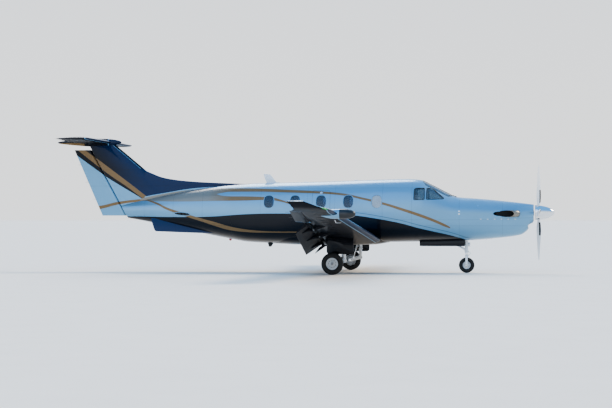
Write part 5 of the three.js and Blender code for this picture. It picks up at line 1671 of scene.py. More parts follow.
def build_wings():
    sections = [section_at(WING_SECTIONS, y) for y in steps(WING_SECTIONS[0][0], WING_TIP_START, 24)]
    sections += [tip_section(y) for y in steps(WING_TIP_START, WING_SECTIONS[-1][0], 28)[1:]]
    wing = loft([section.ring() for section in sections])
    paint = ("wing", "underside")
    halves = pair("wing_{}_skin", wing, paint, 40, slot="wing_paint", replaced=("wing_{}",))
    for side, piece in zip(SIDES, halves):
        for room in (hinge_bay(WING_SECTIONS, AILERON), flap_bay()):
            carved(piece, sided(room, side), angle=40)
        spread(piece, faces_down)
    aileron = control_surface(WING_SECTIONS, AILERON)
    for piece in pair("aileron_{}_skin", aileron, paint, 40, body="aileron_{}", slot="wing_paint",
                      replaced=("aileron_{}",)):
        spread(piece, faces_down)
    flap = turned(flap_shape(), *flap_hinge(), -FLAP["rest"])
    pair("flap_{}_skin", flap, "flap", 40, body="flap_{}", slot="navy_metal", replaced=("flap_{}",))
    build_flap_tracks()


def canoe(y, rows, half=34):
    """Fairing with round sides from (x, low z, high z) rows at a span station."""
    low, high = curves(rows)
    rings = []
    for share, x in zip(steps(0, 1, 24), steps(rows[0][0], rows[-1][0], 24)):
        middle, reach = (low(x) + high(x)) / 2, (high(x) - low(x)) / 2
        blunt = max(0.12, math.sin(math.pi * (0.04 + 0.92 * share)) ** 0.5)
        rings.append([at(x, y + half * blunt * bent(c, 0.8), middle + reach * bent(s, 0.7))
                      for c, s in around(24)])
    return loft(rings)


def build_flap_tracks():
    """Drop brackets and flap arms in canoe fairings, with a pin between each pair."""
    point, axis = flap_hinge()
    fixed, moving, pins = [], [], []
    for y in FLAP_TRACKS:
        pin = (point + axis * (y - FLAP["inner"]) / axis.y * MM) / MM
        reach = TRACK_REACH * section_at(WING_SECTIONS, y).chord
        front, start, back = pin.x + reach, pin.x - 42, pin.x - reach
        rows = ((front, -4, 40), (mix(front, pin.x, 0.5), -66, 30), (pin.x + 2, None, 24))
        fixed.append(canoe(y, track_rows(y, rows, pin.z - 26)))
        rows = ((start, None, 4), (mix(start, back, 0.4), -62, 12), (back, -8, 6))
        moving.append(canoe(y, track_rows(y, rows, pin.z - 24)))
        pins.append(tube([(pin.x - 10, y - 26, pin.z), (pin.x - 10, y + 26, pin.z)], 13, 16))
        pins.append(tube([(pin.x + 30, y, pin.z), (pin.x - 10, y, pin.z)], 12, 12))
    arms = turned(merged(*moving), point, axis, -FLAP["rest"])
    pair("flap_track_{}_brackets", merged(*fixed), "underside", 50, slot="navy_metal")
    pair("flap_track_{}_arms", arms, "flap", 50, body="flap_{}", slot="navy_metal")
    pair("flap_track_{}_pins", merged(*pins), "steel", 50, slot="polished_alloy")


def track_rows(y, rows, pin_z):
    """Rows of a fairing from (x, low, high) against the wing's lower surface. None is the pin's height."""
    return [(x, pin_z if low is None else wing_floor(x, y) + low, wing_floor(x, y) + high)
            for x, low, high in rows]


def build_centre_fairing():
    """Belly fairing that carries the wing through under the cabin."""
    root = WING_SECTIONS[0][1:]
    box = loft([Section(y, *root).ring() for y in steps(870, -870, 12)])
    bottom, half = curves(KEEL_STATIONS)
    keel = []
    for x in steps(KEEL_STATIONS[0][0], KEEL_STATIONS[-1][0], 48):
        depth = KEEL_TOP - bottom(x)
        keel.append([at(x, half(x) * c, KEEL_TOP + (1 if s >= 0 else depth) * s) for c, s in around(48)])
    fairing = made("wing_centre_fairing_skin", box, "navy", 40, slot="navy_composite",
                   replaced=("wing_centre_fairing",))
    carved(fairing, loft(keel), "UNION", 40)
    carved(fairing, loft([body_ring(x, -GAP) for x in steps(2700, -1200, 60)]), angle=40)


def blunt_profile(rows, tip, count, power):
    """Profile with a round nose from (distance behind the tip, radius) rows. Its points crowd there."""
    line = SmoothLine([(math.sqrt(back), radius) for back, radius in rows])
    backs = [rows[-1][0] * share ** power for share in steps(0, 1, count)]
    return [(tip - back, line(math.sqrt(back))) for back in backs]


def build_pod():
    shape = spindle(blunt_profile(POD_PROFILE, POD["tip"], 44, 1.5), (0, POD["y"], POD["z"]), 48)
    pod = made("radar_pod_shell", shape, ("radome", "silver"), 50, slot="radome", replaced=("radar_pod",))
    spread(pod, lambda centre, normal: 0 if centre.x > (POD["tip"] - POD["radome"]) * MM else 1)


# Tail


def fin_ring(z, lead, half):
    """Section of the fin from its hinge line round the leading edge and back."""
    chord = lead - hinge_x(z) + 60
    side = []
    for turn in steps(math.pi / 2, 0, 18)[:-1]:
        share = min(1.0, 1 - math.cos(turn))
        side.append((lead - share * chord, half * math.sqrt(min(1, share * 3.2)) * (1 - 0.22 * share ** 2)))
    return [at(x, y, z) for x, y in side] + [at(lead, 0, z)] + [at(x, -y, z) for x, y in reversed(side)]


def build_fin():
    """Fin and the dorsal fin before it, with room for the rudder."""
    lead, half = curves(FIN_SECTIONS)
    rings = [fin_ring(z, lead(z), half(z)) for z in steps(FIN_SECTIONS[0][0], FIN_SECTIONS[-1][0], 30)]
    fin = made("vertical_fin_skin", loft(rings), "fin", 40, slot="blue_composite",
               replaced=("vertical_fin",))
    top, wide = curves(DORSAL_STATIONS)
    dorsal = []
    for x in steps(DORSAL_STATIONS[0][0], DORSAL_STATIONS[-1][0], 48):
        ring = [at(x, wide(x) * bent(math.cos(turn), 0.7), top(x) - 60 * (1 - abs(math.sin(turn)) ** 0.7))
                for turn in steps(0, math.pi, 12)]
        foot = wide(x) * 1.6
        dorsal.append([at(x, foot, DORSAL_ROOT_Z)] + ring + [at(x, -foot, DORSAL_ROOT_Z)])
    carved(fin, loft(dorsal), "UNION", 40)
    carved(fin, behind_hinge(), angle=40)


def rudder_tail(z):
    return RUDDER["tail_x"] + RUDDER["tail_slope"] * (z - RUDDER["tail_z"])


def build_rudder():
    rings = []
    for i, z in enumerate(steps(RUDDER["bottom"], RUDDER["top"], 20)):
        radius, front = mix(RUDDER["base"], RUDDER["tip"], i / 20), hinge_x(z)
        side = [(mix(front, rudder_tail(z), share), mix(5, radius, (1 - share) ** 0.72))
                for share in steps(1, 0, 8)[:-1]]
        nose = [(front + radius * math.sin(turn), radius * math.cos(turn))
                for turn in steps(0, math.pi, 12)]
        rings.append([at(x, y, z) for x, y in side + nose + [(x, -y) for x, y in reversed(side)]])
    made("rudder_skin", loft(rings), "fin", 40, "rudder", "silver_composite", ("rudder",))
    build_rudder_seal()


def build_rudder_seal():
    """Rubber strip on the fin that closes the gap before the rudder's round nose."""
    low, high = RUDDER["bottom"] + 10, RUDDER["top"] - 10
    root = RUDDER["base"] + NOSE_GAP + RUDDER_SEAL["root"]
    outline = [(hinge_x(low) + root, low), (hinge_x(high) + root, high),
               (hinge_x(high) + RUDDER["tip"] + RUDDER_SEAL["gap"], high),
               (hinge_x(low) + RUDDER["base"] + RUDDER_SEAL["gap"], low)]
    strip = prism(outline, -RUDDER_SEAL["half"], RUDDER_SEAL["half"])
    made("rudder_gap_seal", strip, "rubber", slot="dark_trim", bevel=(2, 2))


def tailplane_half():
    """Port half of the tailplane, with a tip that curls in."""
    rings = [section_at(TAILPLANE_SECTIONS, y).ring() for y in steps(0, TAILPLANE_SECTIONS[1][0], 24)]
    before, after = TAILPLANE_SECTIONS[1:]
    for share in steps(0, 1, 8)[1:]:
        curl = 1 - math.sqrt(max(0, 1 - share ** 2))
        section = section_at(TAILPLANE_SECTIONS, mix(before[0], after[0], share))
        section.lead, section.chord = mix(before[1], after[1], curl), mix(before[2], after[2], curl)
        rings.append(section.ring())
    return loft(rings)


def build_tailplane():
    """Tailplane with its bullet fairing, and the elevators."""
    half = tailplane_half()
    skins = ("tailplane", "tailplane_underside")
    plane = made("tailplane_skin", half, skins, 40, slot="navy_composite", replaced=("tailplane",))
    carved(plane, mirrored(half), "UNION", 40)
    carved(plane, both(hinge_bay(TAILPLANE_SECTIONS, ELEVATOR)), angle=40)
    bullet = blunt_profile(BULLET_PROFILE, BULLET["tip"], 48, 1.4)
    carved(plane, spindle(bullet, (0, 0, BULLET["z"]), 40), "UNION", 40)
    spread(plane, faces_down)
    for surface in pair("elevator_{}_skin", control_surface(TAILPLANE_SECTIONS, ELEVATOR), skins, 40,
                        body="elevator", slot="navy_composite", replaced=("elevator_{}",)):
        spread(surface, faces_down)


def build_strakes():
    y, half = STRAKE["y"], STRAKE["thick"] / 2
    upright = prism(rounded(STRAKE_OUTLINE, 60), y - half, y + half)
    plate = turned(upright, at(0, y, STRAKE["foot"]), (1, 0, 0), STRAKE["cant"])
    pair("ventral_strake_{}_plate", plate, "blue", slot="blue_composite", replaced=("ventral_strake_{}",),
         bevel=(5, 3))


# Landing gear


def wheel_centre(wheel):
    return (wheel["x"], wheel["y"], wheel["radius"])


def rim_spots(wheel, share, shift=0.0):
    """Places of a wheel's bolts or holes, on a circle that is a share of the rim's."""
    reach = wheel["rim"] * share
    turns = [2 * math.pi * (k + shift) / RIM["bolts"] for k in range(RIM["bolts"])]
    return [(wheel["x"] + reach * math.cos(turn), wheel["y"], wheel["radius"] + reach * math.sin(turn))
            for turn in turns]


def tyre_shape(wheel):
    """Tyre with rounded shoulders and circumferential grooves."""
    half, radius, rim = wheel["width"] / 2, wheel["radius"], wheel["rim"]
    shoulder = ((-0.55, 0), (-0.8, 0.1), (-0.96, 0.3), (-0.98, 0.5), (-0.93, 0.7), (-0.82, 0.86),
                (-0.66, 0.95), (-0.5, 0.985))
    outside = [(u * half, mix(rim, radius, share)) for u, share in shoulder]
    tread = [((centre + step) * half, radius - depth) for centre in (-0.36, -0.12, 0.12, 0.36)
             for step, depth in ((-0.045, 0), (-0.035, 7), (0.035, 7), (0.045, 0))]
    return hoop(outside + tread + [(-u, r) for u, r in reversed(outside)], wheel_centre(wheel), 96, "y")


def rim_shape(wheel):
    """Rim with a dished web on each face."""
    half, rim = wheel["width"] / 2, wheel["rim"] - GAP
    face, web = half * RIM["face"], half * RIM["web"]
    outside = [(-face, 0), (-face, rim * 0.2), (10 - face, rim * 0.3), (-half * 0.24, rim * 0.42),
               (-web, rim * 0.62), (-half * 0.26, rim * 0.8), (6 - face, rim * 0.9),
               (-face - 3, rim * 0.985), (-face, rim)]
    return spindle(outside + [(-u, r) for u, r in reversed(outside)], wheel_centre(wheel), 72, "y")


def wheel_details(wheel):
    """Hub caps and tie bolts of a wheel."""
    rim, half = wheel["rim"], wheel["width"] / 2
    parts = []
    for side in (-1, 1):
        face, web = side * half * RIM["face"], side * half * RIM["web"]
        cap = [(face - side * 4, 0), (face - side * 4, rim * 0.24), (face, rim * 0.24),
               (face + side * 6, rim * 0.22), (face + side * 12, rim * 0.12), (face + side * 13, 0)]
        bolt = [(web, 0), (web, 8), (web + side * 14, 8), (web + side * 16, 5), (web + side * 16, 0)]
        parts.append(spindle(cap, wheel_centre(wheel), 32, "y"))
        parts += [spindle(bolt, spot, 6, "y") for spot in rim_spots(wheel, 0.62)]
    return merged(*parts)


def build_wheel(name, wheel):
    holes = [drum(-200, 200, wheel["rim"] * 0.085, spot, 20) for spot in rim_spots(wheel, 0.6, 0.5)]
    made(f"{name}_tyre_rubber", tyre_shape(wheel), "tyre", 35, name, "tyre_rubber", (f"{name}_tyre",))
    skin(f"{name}_rim_halves", rim_shape(wheel), "wheel_enamel", merged(*holes), body=name,
         slot="wheel_alloy", replaced=(f"{name}_rim",))
    made(f"{name}_bolts", wheel_details(wheel), "steel", 35, name, "wheel_alloy")


def smooth_path(path, parts=6):
    """Path through the same points with rounded bends."""
    lines = curves([(i, *spot) for i, spot in enumerate(path)])
    return [tuple(line(t) for line in lines) for t in steps(0, len(path) - 1, (len(path) - 1) * parts)]


def build_main_gear():
    """Legs with trailing links, dampers, brakes and the doors that hang beside them."""
    x, y, knee = MAIN_LEG["x"], MAIN_LEG["y"], MAIN_LEG["knee"]
    wheel_x, wheel_z = MAIN_WHEEL["x"], MAIN_WHEEL["radius"]
    face = MAIN_WHEEL["y"] - MAIN_WHEEL["width"] / 2 * RIM["face"]
    casting = merged(
        tube([(x, y, knee - 40), (x, y, 470), (x, y, 700), (x, y, MAIN_LEG["top"])], [50, 46, 54, 60], 28),
        tube([(x, y, 620), (x, y, 660)], 66, 28),
        tube([(x - 70, y, 720), (x + 12, y, 700)], [26, 34], 18),
        drum(-46, 46, 58, (x, y, knee - 18), 28),
        tube([(x, y, 700), (x, y - 350, 890), (x, y - 690, 1070)], [26, 22, 20], 18),
        drum(-26, 26, 34, (x, y - 20, 712), 20, "x"),
    )
    link = rounded([(x + 52, knee - 62), (x + 52, knee + 34), (x - 40, knee + 44),
                    (wheel_x + 20, wheel_z + 62), (wheel_x - 52, wheel_z + 46),
                    (wheel_x - 52, wheel_z - 46), (wheel_x + 20, wheel_z - 52), (x - 40, knee - 76)], 40)
    damper = merged(tube([(x - 84, y, 800), (x - 150, y, 600)], 31, 24),
                    tube([(x - 70, y, 842), (x - 84, y, 800)], [22, 31], 20))
    shine = merged(tube([(x - 148, y, 606), (x - 205, y, 385)], 17, 20),
                   drum(-34, 34, 16, (x - 207, y, 374), 16),
                   tube([(wheel_x, y - 38, wheel_z), (wheel_x, face - 6, wheel_z)], 28, 24))
    disc = hoop([(face - 34, 46), (face - 34, 138), (face - 22, 138), (face - 22, 46)],
                (wheel_x, 0, wheel_z), 48, "y")
    caliper = block(wheel_x - 172, wheel_x - 96, face - 58, face - 8, wheel_z - 50, wheel_z + 46)
    hose = [(wheel_x - 120, y + 8, wheel_z + 40), (wheel_x - 60, y - 28, wheel_z + 120),
            (x - 190, y - 44, 470), (x - 70, y - 58, 560), (x - 30, y - 58, 760), (x - 10, y - 40, 980)]
    on_leg = {"slot": "gear_enamel"}
    pair("main_gear_leg_{}_casting", casting, "gear_enamel", 40, replaced=("main_gear_leg_{}",), **on_leg)
    pair("main_gear_{}_trailing_link", prism(link, y - 30, y + 30), "gear_enamel", bevel=(10, 3), **on_leg)
    pair("main_gear_{}_damper", damper, "gear_enamel", 40, **on_leg)
    pair("main_gear_{}_chrome", shine, "chrome", 40, **on_leg)
    pair("main_gear_{}_brake_disc", disc, "steel", 40, **on_leg)
    pair("main_gear_{}_caliper", caliper, "cast_metal", bevel=(8, 2), **on_leg)
    pair("main_gear_{}_brake_line", tube(smooth_path(hose), 6, 10), "hose", 60, **on_leg)
    pair("main_gear_door_{}_plate", main_door(), "navy", slot="navy_composite",
         replaced=("main_gear_door_{}",), bevel=(5, 2))


def main_door():
    """Door plate that ends at the wing's lower surface."""
    outline = rectangle(MAIN_DOOR["aft"], MAIN_DOOR["front"], MAIN_DOOR["bottom"], MAIN_DOOR["top"])
    outline = finely(rounded(outline, MAIN_DOOR["corner"]), 60)
    plate = prism(outline, MAIN_DOOR["y"], MAIN_DOOR["y"] + MAIN_DOOR["thick"])

    def under_wing(p):
        return Vector((p.x, p.y, min(p.z, (wing_floor(p.x / MM, p.y / MM) - GAP) * MM)))

    return mapped(plate, under_wing)


def torque_links(x, crown_z):
    """Steering collar round the nose leg, and the scissor links from it down to the fork."""
    low, high = NOSE_LEG["collar"]
    knee_x, knee_z = x + 112, (low + crown_z) / 2 + 22
    parts = [hoop([(low, 48), (low, 62), (high, 62), (high, 48)], (x, 0, 0), 36, "z"),
             tube([(knee_x, -17, knee_z), (knee_x, 17, knee_z)], 8, 14)]
    for side in (-1, 1):
        parts.append(tube([(x + 58, side * 24, low + 16), (knee_x, side * 7, knee_z)], [10, 7], 12))
        parts.append(tube([(x + 46, side * 30, crown_z + 30), (knee_x, side * 11, knee_z)], [10, 7], 12))
    return merged(*parts)


def build_nose_gear():
    """Leg with its lamp, the fork that steers, and the doors beside them."""
    x, radius, half = NOSE_WHEEL["x"], NOSE_WHEEL["radius"], NOSE_WHEEL["width"] / 2
    foot, lamp_z, crown_z = NOSE_LEG["foot"], NOSE_LEG["lamp_z"], radius * 2 + NOSE_FORK["crown"]
    inner = half + NOSE_FORK["gap"]
    outer = inner + NOSE_FORK["thick"]
    upright = [(x, 0, z) for z in (foot, foot + 30, foot + 34, NOSE_LEG["top"])]
    leg = merged(
        tube(upright, [54, 54, 46, 50], 28),
        tube([(x - 500, 0, 900), (x - 30, 0, 655)], [22, 26], 18),
        drum(-52, 52, 20, (x + 10, 0, 700), 16),
    )
    housing = [(x + 46, 0), (x + 50, 52), (x + 92, 64), (x + 96, 60), (x + 96, 0)]
    lens = [(x + 95, 0), (x + 95, 58), (x + 99, 56), (x + 103, 30), (x + 104, 0)]
    lamp = merged(spindle(housing, (0, 0, lamp_z), 36),
                  tube([(x + 30, 0, lamp_z - 10), (x + 60, 0, lamp_z)], 14, 12))
    cheek = block(x - 32, x + 32, inner, outer, radius - 34, crown_z + 20)
    fork = merged(tube([(x, 0, crown_z + 6), (x, 0, crown_z + 60)], [46, 40], 24),
                  block(x - 46, x + 46, -outer - 1, outer + 1, crown_z, crown_z + 38), both(cheek))
    axle = merged(tube([(x, half * RIM["face"] + 6, radius), (x, inner + 1, radius)], 21, 20),
                  tube([(x, outer, radius), (x, outer + 6, radius)], [24, 18], 20))
    piston = merged(tube([(x, 0, crown_z + 50), (x, 0, foot - 6)], 37, 24), both(axle))
    on_leg = {"slot": "gear_enamel"}
    steered = {"body": "nose_gear_fork", "slot": "gear_enamel"}
    made("nose_gear_leg_casting", leg, "gear_enamel", 40, replaced=("nose_gear_leg",), **on_leg)
    made("nose_gear_lamp_housing", lamp, "gear_enamel", 40, **on_leg)
    made("nose_gear_lamp_lens", spindle(lens, (0, 0, lamp_z), 36), "clear_lens", 40, **on_leg)
    made("nose_gear_fork_forging", fork, "gear_enamel", bevel=(8, 3), replaced=("nose_gear_fork",),
         **steered)
    made("nose_gear_piston", piston, "chrome", 40, **steered)
    made("nose_gear_torque_links", torque_links(x, crown_z), "gear_enamel", 40, **steered)
    build_nose_doors()


def build_nose_doors():
    """Plates that hang beside the bay, with two links each."""
    y = NOSE_DOOR["y"]
    outline = rectangle(NOSE_DOOR["aft"], NOSE_DOOR["front"], NOSE_DOOR["bottom"], NOSE_DOOR["top"])
    plate = prism(rounded(outline, NOSE_DOOR["corner"]), y, y + NOSE_DOOR["thick"])
    body = loft([body_ring(x, -GAP) for x in steps(4900, 3300, 30)])
    for door in pair("nose_gear_door_{}_plate", plate, "navy", slot="navy_composite",
                     replaced=("nose_gear_door_{}",)):
        bevelled(carved(door, body), 4)
    links = [tube([(x, y + 6, 860), (x, 60, 885)], 9, 10) for x in (3700, 4480)]
    pair("nose_gear_door_{}_links", merged(*links), "gear_enamel", 40, slot="gear_enamel")


# Small fittings


def build_antennas():
    blade = prism(rounded(ROOF_ANTENNA, 22), -11, 11)
    made("roof_antenna_blade", blade, "white_composite", slot="white_composite", replaced=("roof_antenna",),
         bevel=(9, 3))
    pads = [antenna_pad(*pad) for pad in ROOF_PADS]
    made("roof_antenna_pads", merged(*pads), "white_composite", 50, slot="white_composite")


def antenna_pad(x, length, width):
    """Low oval dome on the roof."""
    rings = []
    for share, rise in ((1.0, -4), (0.98, 4), (0.86, 11), (0.6, 16), (0.3, 19), (0.05, 20)):
        outline = oval(x, 0, length * share, width * share, count=36)
        rings.append([at(u, v, roof_z(u, v) + rise) for u, v in outline])
    return loft(rings)


def build_belly_fittings():
    """Antenna, drains and beacon under the fuselage."""
    x, z = BELLY_ANTENNA_X, KEEL_STATIONS[-1][1] - 2
    fin = [(x - 90, z + 20), (x - 60, z - 105), (x + 10, z - 110), (x + 90, z + 20)]
    made("belly_antenna", prism(rounded(fin, 14), -9, 9), "dark_trim", slot="dark_trim", bevel=(6, 3))
    drains = [tube([(px, py, belly_z(px, py) + 12), (px - 10, py, belly_z(px, py) - 34)], [9, 7], 12)
              for px, py in DRAIN_PLACES]
    made("drain_masts", merged(*drains), "brushed", slot="polished_alloy")
    spot = (BEACON_X, 0, belly_z(BEACON_X))
    base = spindle([(-16, 0), (-16, 44), (14, 50), (14, 0)], spot, 32, "z")
    dome = spindle([(-62, 0), (-60, 16), (-50, 30), (-32, 38), (-14, 40), (-12, 0)], spot, 32, "z")
    made("belly_beacon_base", base, "brushed", 40, slot="polished_alloy")
    made("belly_beacon_dome", dome, "red_lens", 60, slot="acrylic_glazing")


def build_exit():
    """Outline and release of the emergency exit, which stays shut."""
    rows = ((0, 2), (0, -0.6), (5, -0.6), (5, 2))
    groove = frame_ring(finely(rounded(EXIT_OUTLINE, 90)), side_spot(-1), rows)
    made("emergency_exit_seal", groove, "rubber", 50, slot="dark_trim")
    release = skin_plate(oval(*EXIT_HANDLE, 46, 16), side_spot(-1))
    made("emergency_exit_handle", release, "polished", 50, slot="polished_alloy")


def build_outlet():
    """Cooling outlet with a rim, a dark mesh and upright slats. The mesh is a solid near-black plate,
    partly painted shade of the hollow behind it.
    """
    x, z, reach, height = VENT["x"], VENT["z"], VENT["reach"], VENT["height"]
    outlet = oval(x, z, reach, height, tilt=VENT["tilt"])
    rim = frame_ring(outlet, side_spot(-1), ((-2, 2), (-2, -4), (9, -4), (13, 1)))
    mesh = skin_plate(offset(outlet, -4), side_spot(-1), ((0, 3), (0, -0.5)))
    slats = []
    for k in range(-4, 5):
        share = k / 5.4
        u, v = x + share * reach, z + share * reach * math.tan(math.radians(VENT["tilt"]))
        tall = height * math.sqrt(1 - share ** 2) - 6
        ends = [(u + lean, -side_y(u, end) - 1.5, end) for lean, end in ((0, v - tall), (12, v + tall))]
        slats.append(tube(ends, 3.2, 8))
    made("cooling_outlet_rim", rim, "silver", 50, slot="silver_paint")
    # Near-black plate: the real dark mesh and the painted shade of the hollow behind it
    made("cooling_outlet_mesh", mesh, "soot", 50, slot="dark_trim")
    made("cooling_outlet_slats", merged(*slats), "cast_metal", 50, slot="dark_trim")


def build_skin_fittings():
    """Cowling latches, static ports and window wipers."""
    latches = [skin_plate(rounded(rectangle(x - 24, x + 24, 1508, 1526), 6), side_spot(1))
               for x in range(5160, 6120, 190)]
    ports = [skin_plate(oval(x, z, 20, 20), side_spot(1)) for x, z in STATIC_PORTS]
    made("cowling_latches", both(*latches), "brushed", 50, slot="polished_alloy")
    made("static_port_discs", both(*ports), "polished", 50, slot="polished_alloy")

    def over_roof(path, rise):
        return [(x, y, roof_z(x, y) + rise) for x, y in path]

    wiper = merged(
        tube(over_roof(WIPER_ARM, 15), [7, 6, 4], 10),
        tube(over_roof(WIPER_BLADE, 9), 5, 8),
        spindle([(-14, 0), (-14, 20), (6, 16), (8, 0)], over_roof([(4438, 150)], 8)[0], 20, "z"),
    )
    made("windscreen_wipers", both(wiper), "dark_trim", 50, slot="dark_trim")


def build_panels_and_caps():
    """Fuel caps on the wings, and oval access plates under them."""
    def under_wing(u, v, inset):
        return at(u, v, wing_floor(u, v) + inset)

    plates = [skin_plate(oval(section_at(WING_SECTIONS, y).x(0.42), y, 95, 70), under_wing)
              for y in range(2900, 7300, 520)]
    section = section_at(WING_SECTIONS, FUEL_CAP_Y)
    spot = tuple(section.point(0.32, section.line(0.32, 1)) / MM)
    cap = merged(spindle([(-8, 0), (-8, 58), (3, 58), (5, 52), (5, 0)], spot, 36, "z"),
                 spindle([(0, 0), (0, 20), (9, 18), (9, 0)], spot, 20, "z"))
    pair("wing_{}_access_plates", merged(*plates), "underside", 50, slot="wing_paint")
    pair("fuel_cap_{}", cap, "brushed", 50, slot="polished_alloy")


def static_wicks(sections, stations, length, drop=0):
    """Thin wicks behind the trailing edge of a wing or tailplane."""
    ends = [(section_at(sections, y).point(1.0, 0) / MM, y) for y in stations]
    return merged(*[wick(end.x, y, end.z, length, drop) for end, y in ends])


def wick(x, y, z, length, drop):
    return tube([(x + 8, y, z), (x - length, y, z - drop)], [3.5, 2], 8)


def build_wing_fittings():
    """Position lamps round the wing tips, pitot probes and static wicks."""
    tips = []
    for y in TIP_LAMP_STATIONS:
        ring = tip_section(y).ring()
        tips.append(ring[PROFILE_STEPS:] + ring[:PROFILE_STEPS])
    lamp = glove(tips, 4, Vector((0, 1, 0)), 3, 4)
    for side, lens in zip(SIDES, ("red_lens", "green_lens")):
        made(f"navigation_lamp_{side}", sided(lamp, side), lens, 60, slot="acrylic_glazing")
    y = PITOT_Y
    section = section_at(WING_SECTIONS, y)
    foot = section.point(0.16, section.line(0.16, -1)) / MM
    low = foot.z - 66
    head = [(foot.x + reach, y, low) for reach in (-12, 120, 134)]
    probe = merged(tube([(foot.x - 30, y, foot.z + 10), (foot.x, y, low + 4)], [11, 7], 14),
                   tube(head, [7, 6, 4], 14))
    pair("pitot_probe_{}", probe, "polished", 50, slot="polished_alloy")
    wicks = static_wicks(WING_SECTIONS, AILERON_WICKS, 110, 4)
    pair("aileron_{}_static_wicks", wicks, "dark_trim", 50, body="aileron_{}", slot="dark_trim")


def build_tail_fittings():
    """Static wicks and the lamp at the end of the bullet."""
    wicks = static_wicks(TAILPLANE_SECTIONS, ELEVATOR_WICKS, 90)
    pair("elevator_{}_static_wicks", wicks, "dark_trim", 50, body="elevator", slot="dark_trim")
    wicks = [wick(rudder_tail(z), 0, z, 90, 6) for z in RUDDER_WICKS]
    made("rudder_static_wicks", merged(*wicks), "dark_trim", 50, "rudder", "dark_trim")
    lamp = spindle([(-7190, 0), (-7186, 9), (-7168, 15), (-7140, 18), (-7120, 0)], (0, 0, BULLET["z"]), 24)
    made("tail_lamp", lamp, "clear_lens", 60, slot="acrylic_glazing")


# Studio


def studio_world(settings):
    """Even light that is a little bluer and deeper overhead than at the horizon."""
    world = bpy.data.worlds.new("studio_light")
    world.use_nodes = True
    add = functools.partial(node, world.node_tree)
    height = add("SeparateXYZ", add("TexCoord", out="Generated"), out=2)
    rise = add("MapRange", height, 0.02, 0.75, interpolation_type="SMOOTHSTEP")
    low, high = (tuple(colour) + (1.0,) for colour in (settings.horizon_colour, settings.overhead_colour))
    tone = add("Mix", {SHARE: rise, UNDER: low, OVER: high}, **MIX_COLOURS)
    join(world.node_tree.nodes["Background"], {"Color": tone, "Strength": settings.ambient_strength})
    return world


def placed(name, data):
    """New object that holds a lamp or a camera."""
    piece = bpy.data.objects.new(name, data)
    bpy.context.scene.collection.objects.link(piece)
    return piece


def build_lights(settings):
    lamps = (
        ("key_light", settings.key_direction, settings.key_strength, 22, "#fff0dc"),
        ("fill_light", (-0.5, -1.0, 0.55), settings.fill_strength, 70, "#dcebff"),
        ("rim_light", (-0.4, 0.9, 0.8), settings.rim_strength, 35, "#fff8f0"),
    )
    for name, direction, strength, width, code in lamps:
        light = bpy.data.lights.new(name, "SUN")
        light.energy = strength
        light.angle = math.radians(width)
        light.color = to_linear(code)[:3]
        placed(name, light).rotation_euler = Vector(direction).to_track_quat("Z", "Y").to_euler()


def build_studio(settings):
    """Pale floor, soft lights and the camera at the photograph's angle."""
    size = settings.floor_size
    corners = [Vector((x * size, y * size, 0)) for x, y in rectangle(-1, 1, -1, 1)]
    made("studio_floor", (corners, [(0, 1, 2, 3)]), "floor")
    build_lights(settings)
    scene = bpy.context.scene
    scene.world = studio_world(settings)
    camera = placed("photo_camera", bpy.data.cameras.new("photo_camera"))
    camera.data.lens = settings.lens
    camera.data.clip_end = 1000
    camera.location = settings.camera_place
    gaze = Vector(settings.camera_aim) - Vector(settings.camera_place)
    camera.rotation_euler = gaze.to_track_quat("-Z", "Y").to_euler()
    scene.camera = camera
    scene.view_settings.view_transform = "AgX"
    scene.view_settings.look = "AgX - Medium High Contrast"


# Add-on


def colour_setting(name, description, code):
    return bpy.props.FloatVectorProperty(name=name, description=description, subtype="COLOR", size=3,
                                         min=0, max=1, default=to_linear(code)[:3])


def vector_setting(name, description, place, subtype="TRANSLATION"):
    return bpy.props.FloatVectorProperty(name=name, description=description, default=place, subtype=subtype)


def number_setting(name, description, value, low=0.0, unit="NONE"):
    return bpy.props.FloatProperty(name=name, description=description, default=value, min=low, unit=unit)


class AircraftLivery(bpy.types.PropertyGroup):
    """Colours of the aircraft's paint."""

    # The silver's blue tint is a painted reflection of the sky; under it lies silver paint
    silver: colour_setting("Silver", "Upper fuselage, nose, rudder and upper wing", "#74a0bd")
    navy: colour_setting("Navy", "Lower fuselage, flaps, tailplane and gear doors", "#0b0f18")
    blue: colour_setting("Blue", "Fin, dorsal fin and strakes", "#0a284c")
    gold: colour_setting("Gold", "Stripes along the fuselage and across the fin", "#7d6546")
    gold_shade: colour_setting("Grey gold", "Wide band from the fin's foot", "#85827a")


class AircraftStudio(bpy.types.PropertyGroup):
    """Camera, light and floor of the studio."""

    lens: number_setting("Lens", "Focal length in millimetres", 100.0, 10.0, "CAMERA")
    camera_place: vector_setting("Camera place", "Where the photograph was taken from",
                                 (6.883, -48.27, 1.557))
    camera_aim: vector_setting("Camera aim", "Point in the middle of the picture", (0.15, 0.0, 1.95))
    ambient_strength: number_setting("Ambient", "Strength of the even light", 1.45)
    horizon_colour: colour_setting("Horizon", "Colour of the even light at the horizon", "#e6e8ea")
    overhead_colour: colour_setting("Overhead", "Colour of the even light from above", "#64a2dc")
    key_direction: vector_setting("Key direction", "Where the key light comes from", (0.8, 0.5, 0.75),
                                  "DIRECTION")
    key_strength: number_setting("Key", "Strength of the key light", 3.0)
    fill_strength: number_setting("Fill", "Strength of the light from the camera's side", 0.8)
    rim_strength: number_setting("Rim", "Strength of the light from behind", 1.4)
    floor_size: number_setting("Floor size", "Half the floor's width", 2000.0, 50.0, "LENGTH")
    floor_pale: colour_setting("Floor", "Pale tone of the floor", "#f0e9de")
    floor_dark: colour_setting("Floor mottle", "Darker tone of the floor", "#e8e1d6")


class BuildFuselage(bpy.types.Operator):
    """Makes the cabin shell, the engine cowling and the tail cone"""

    bl_idname = "aircraft.build_fuselage"
    bl_label = "Fuselage"

    def execute(self, context):
        build_shell()
        build_cowling()
        build_tail_cone()
        return {"FINISHED"}


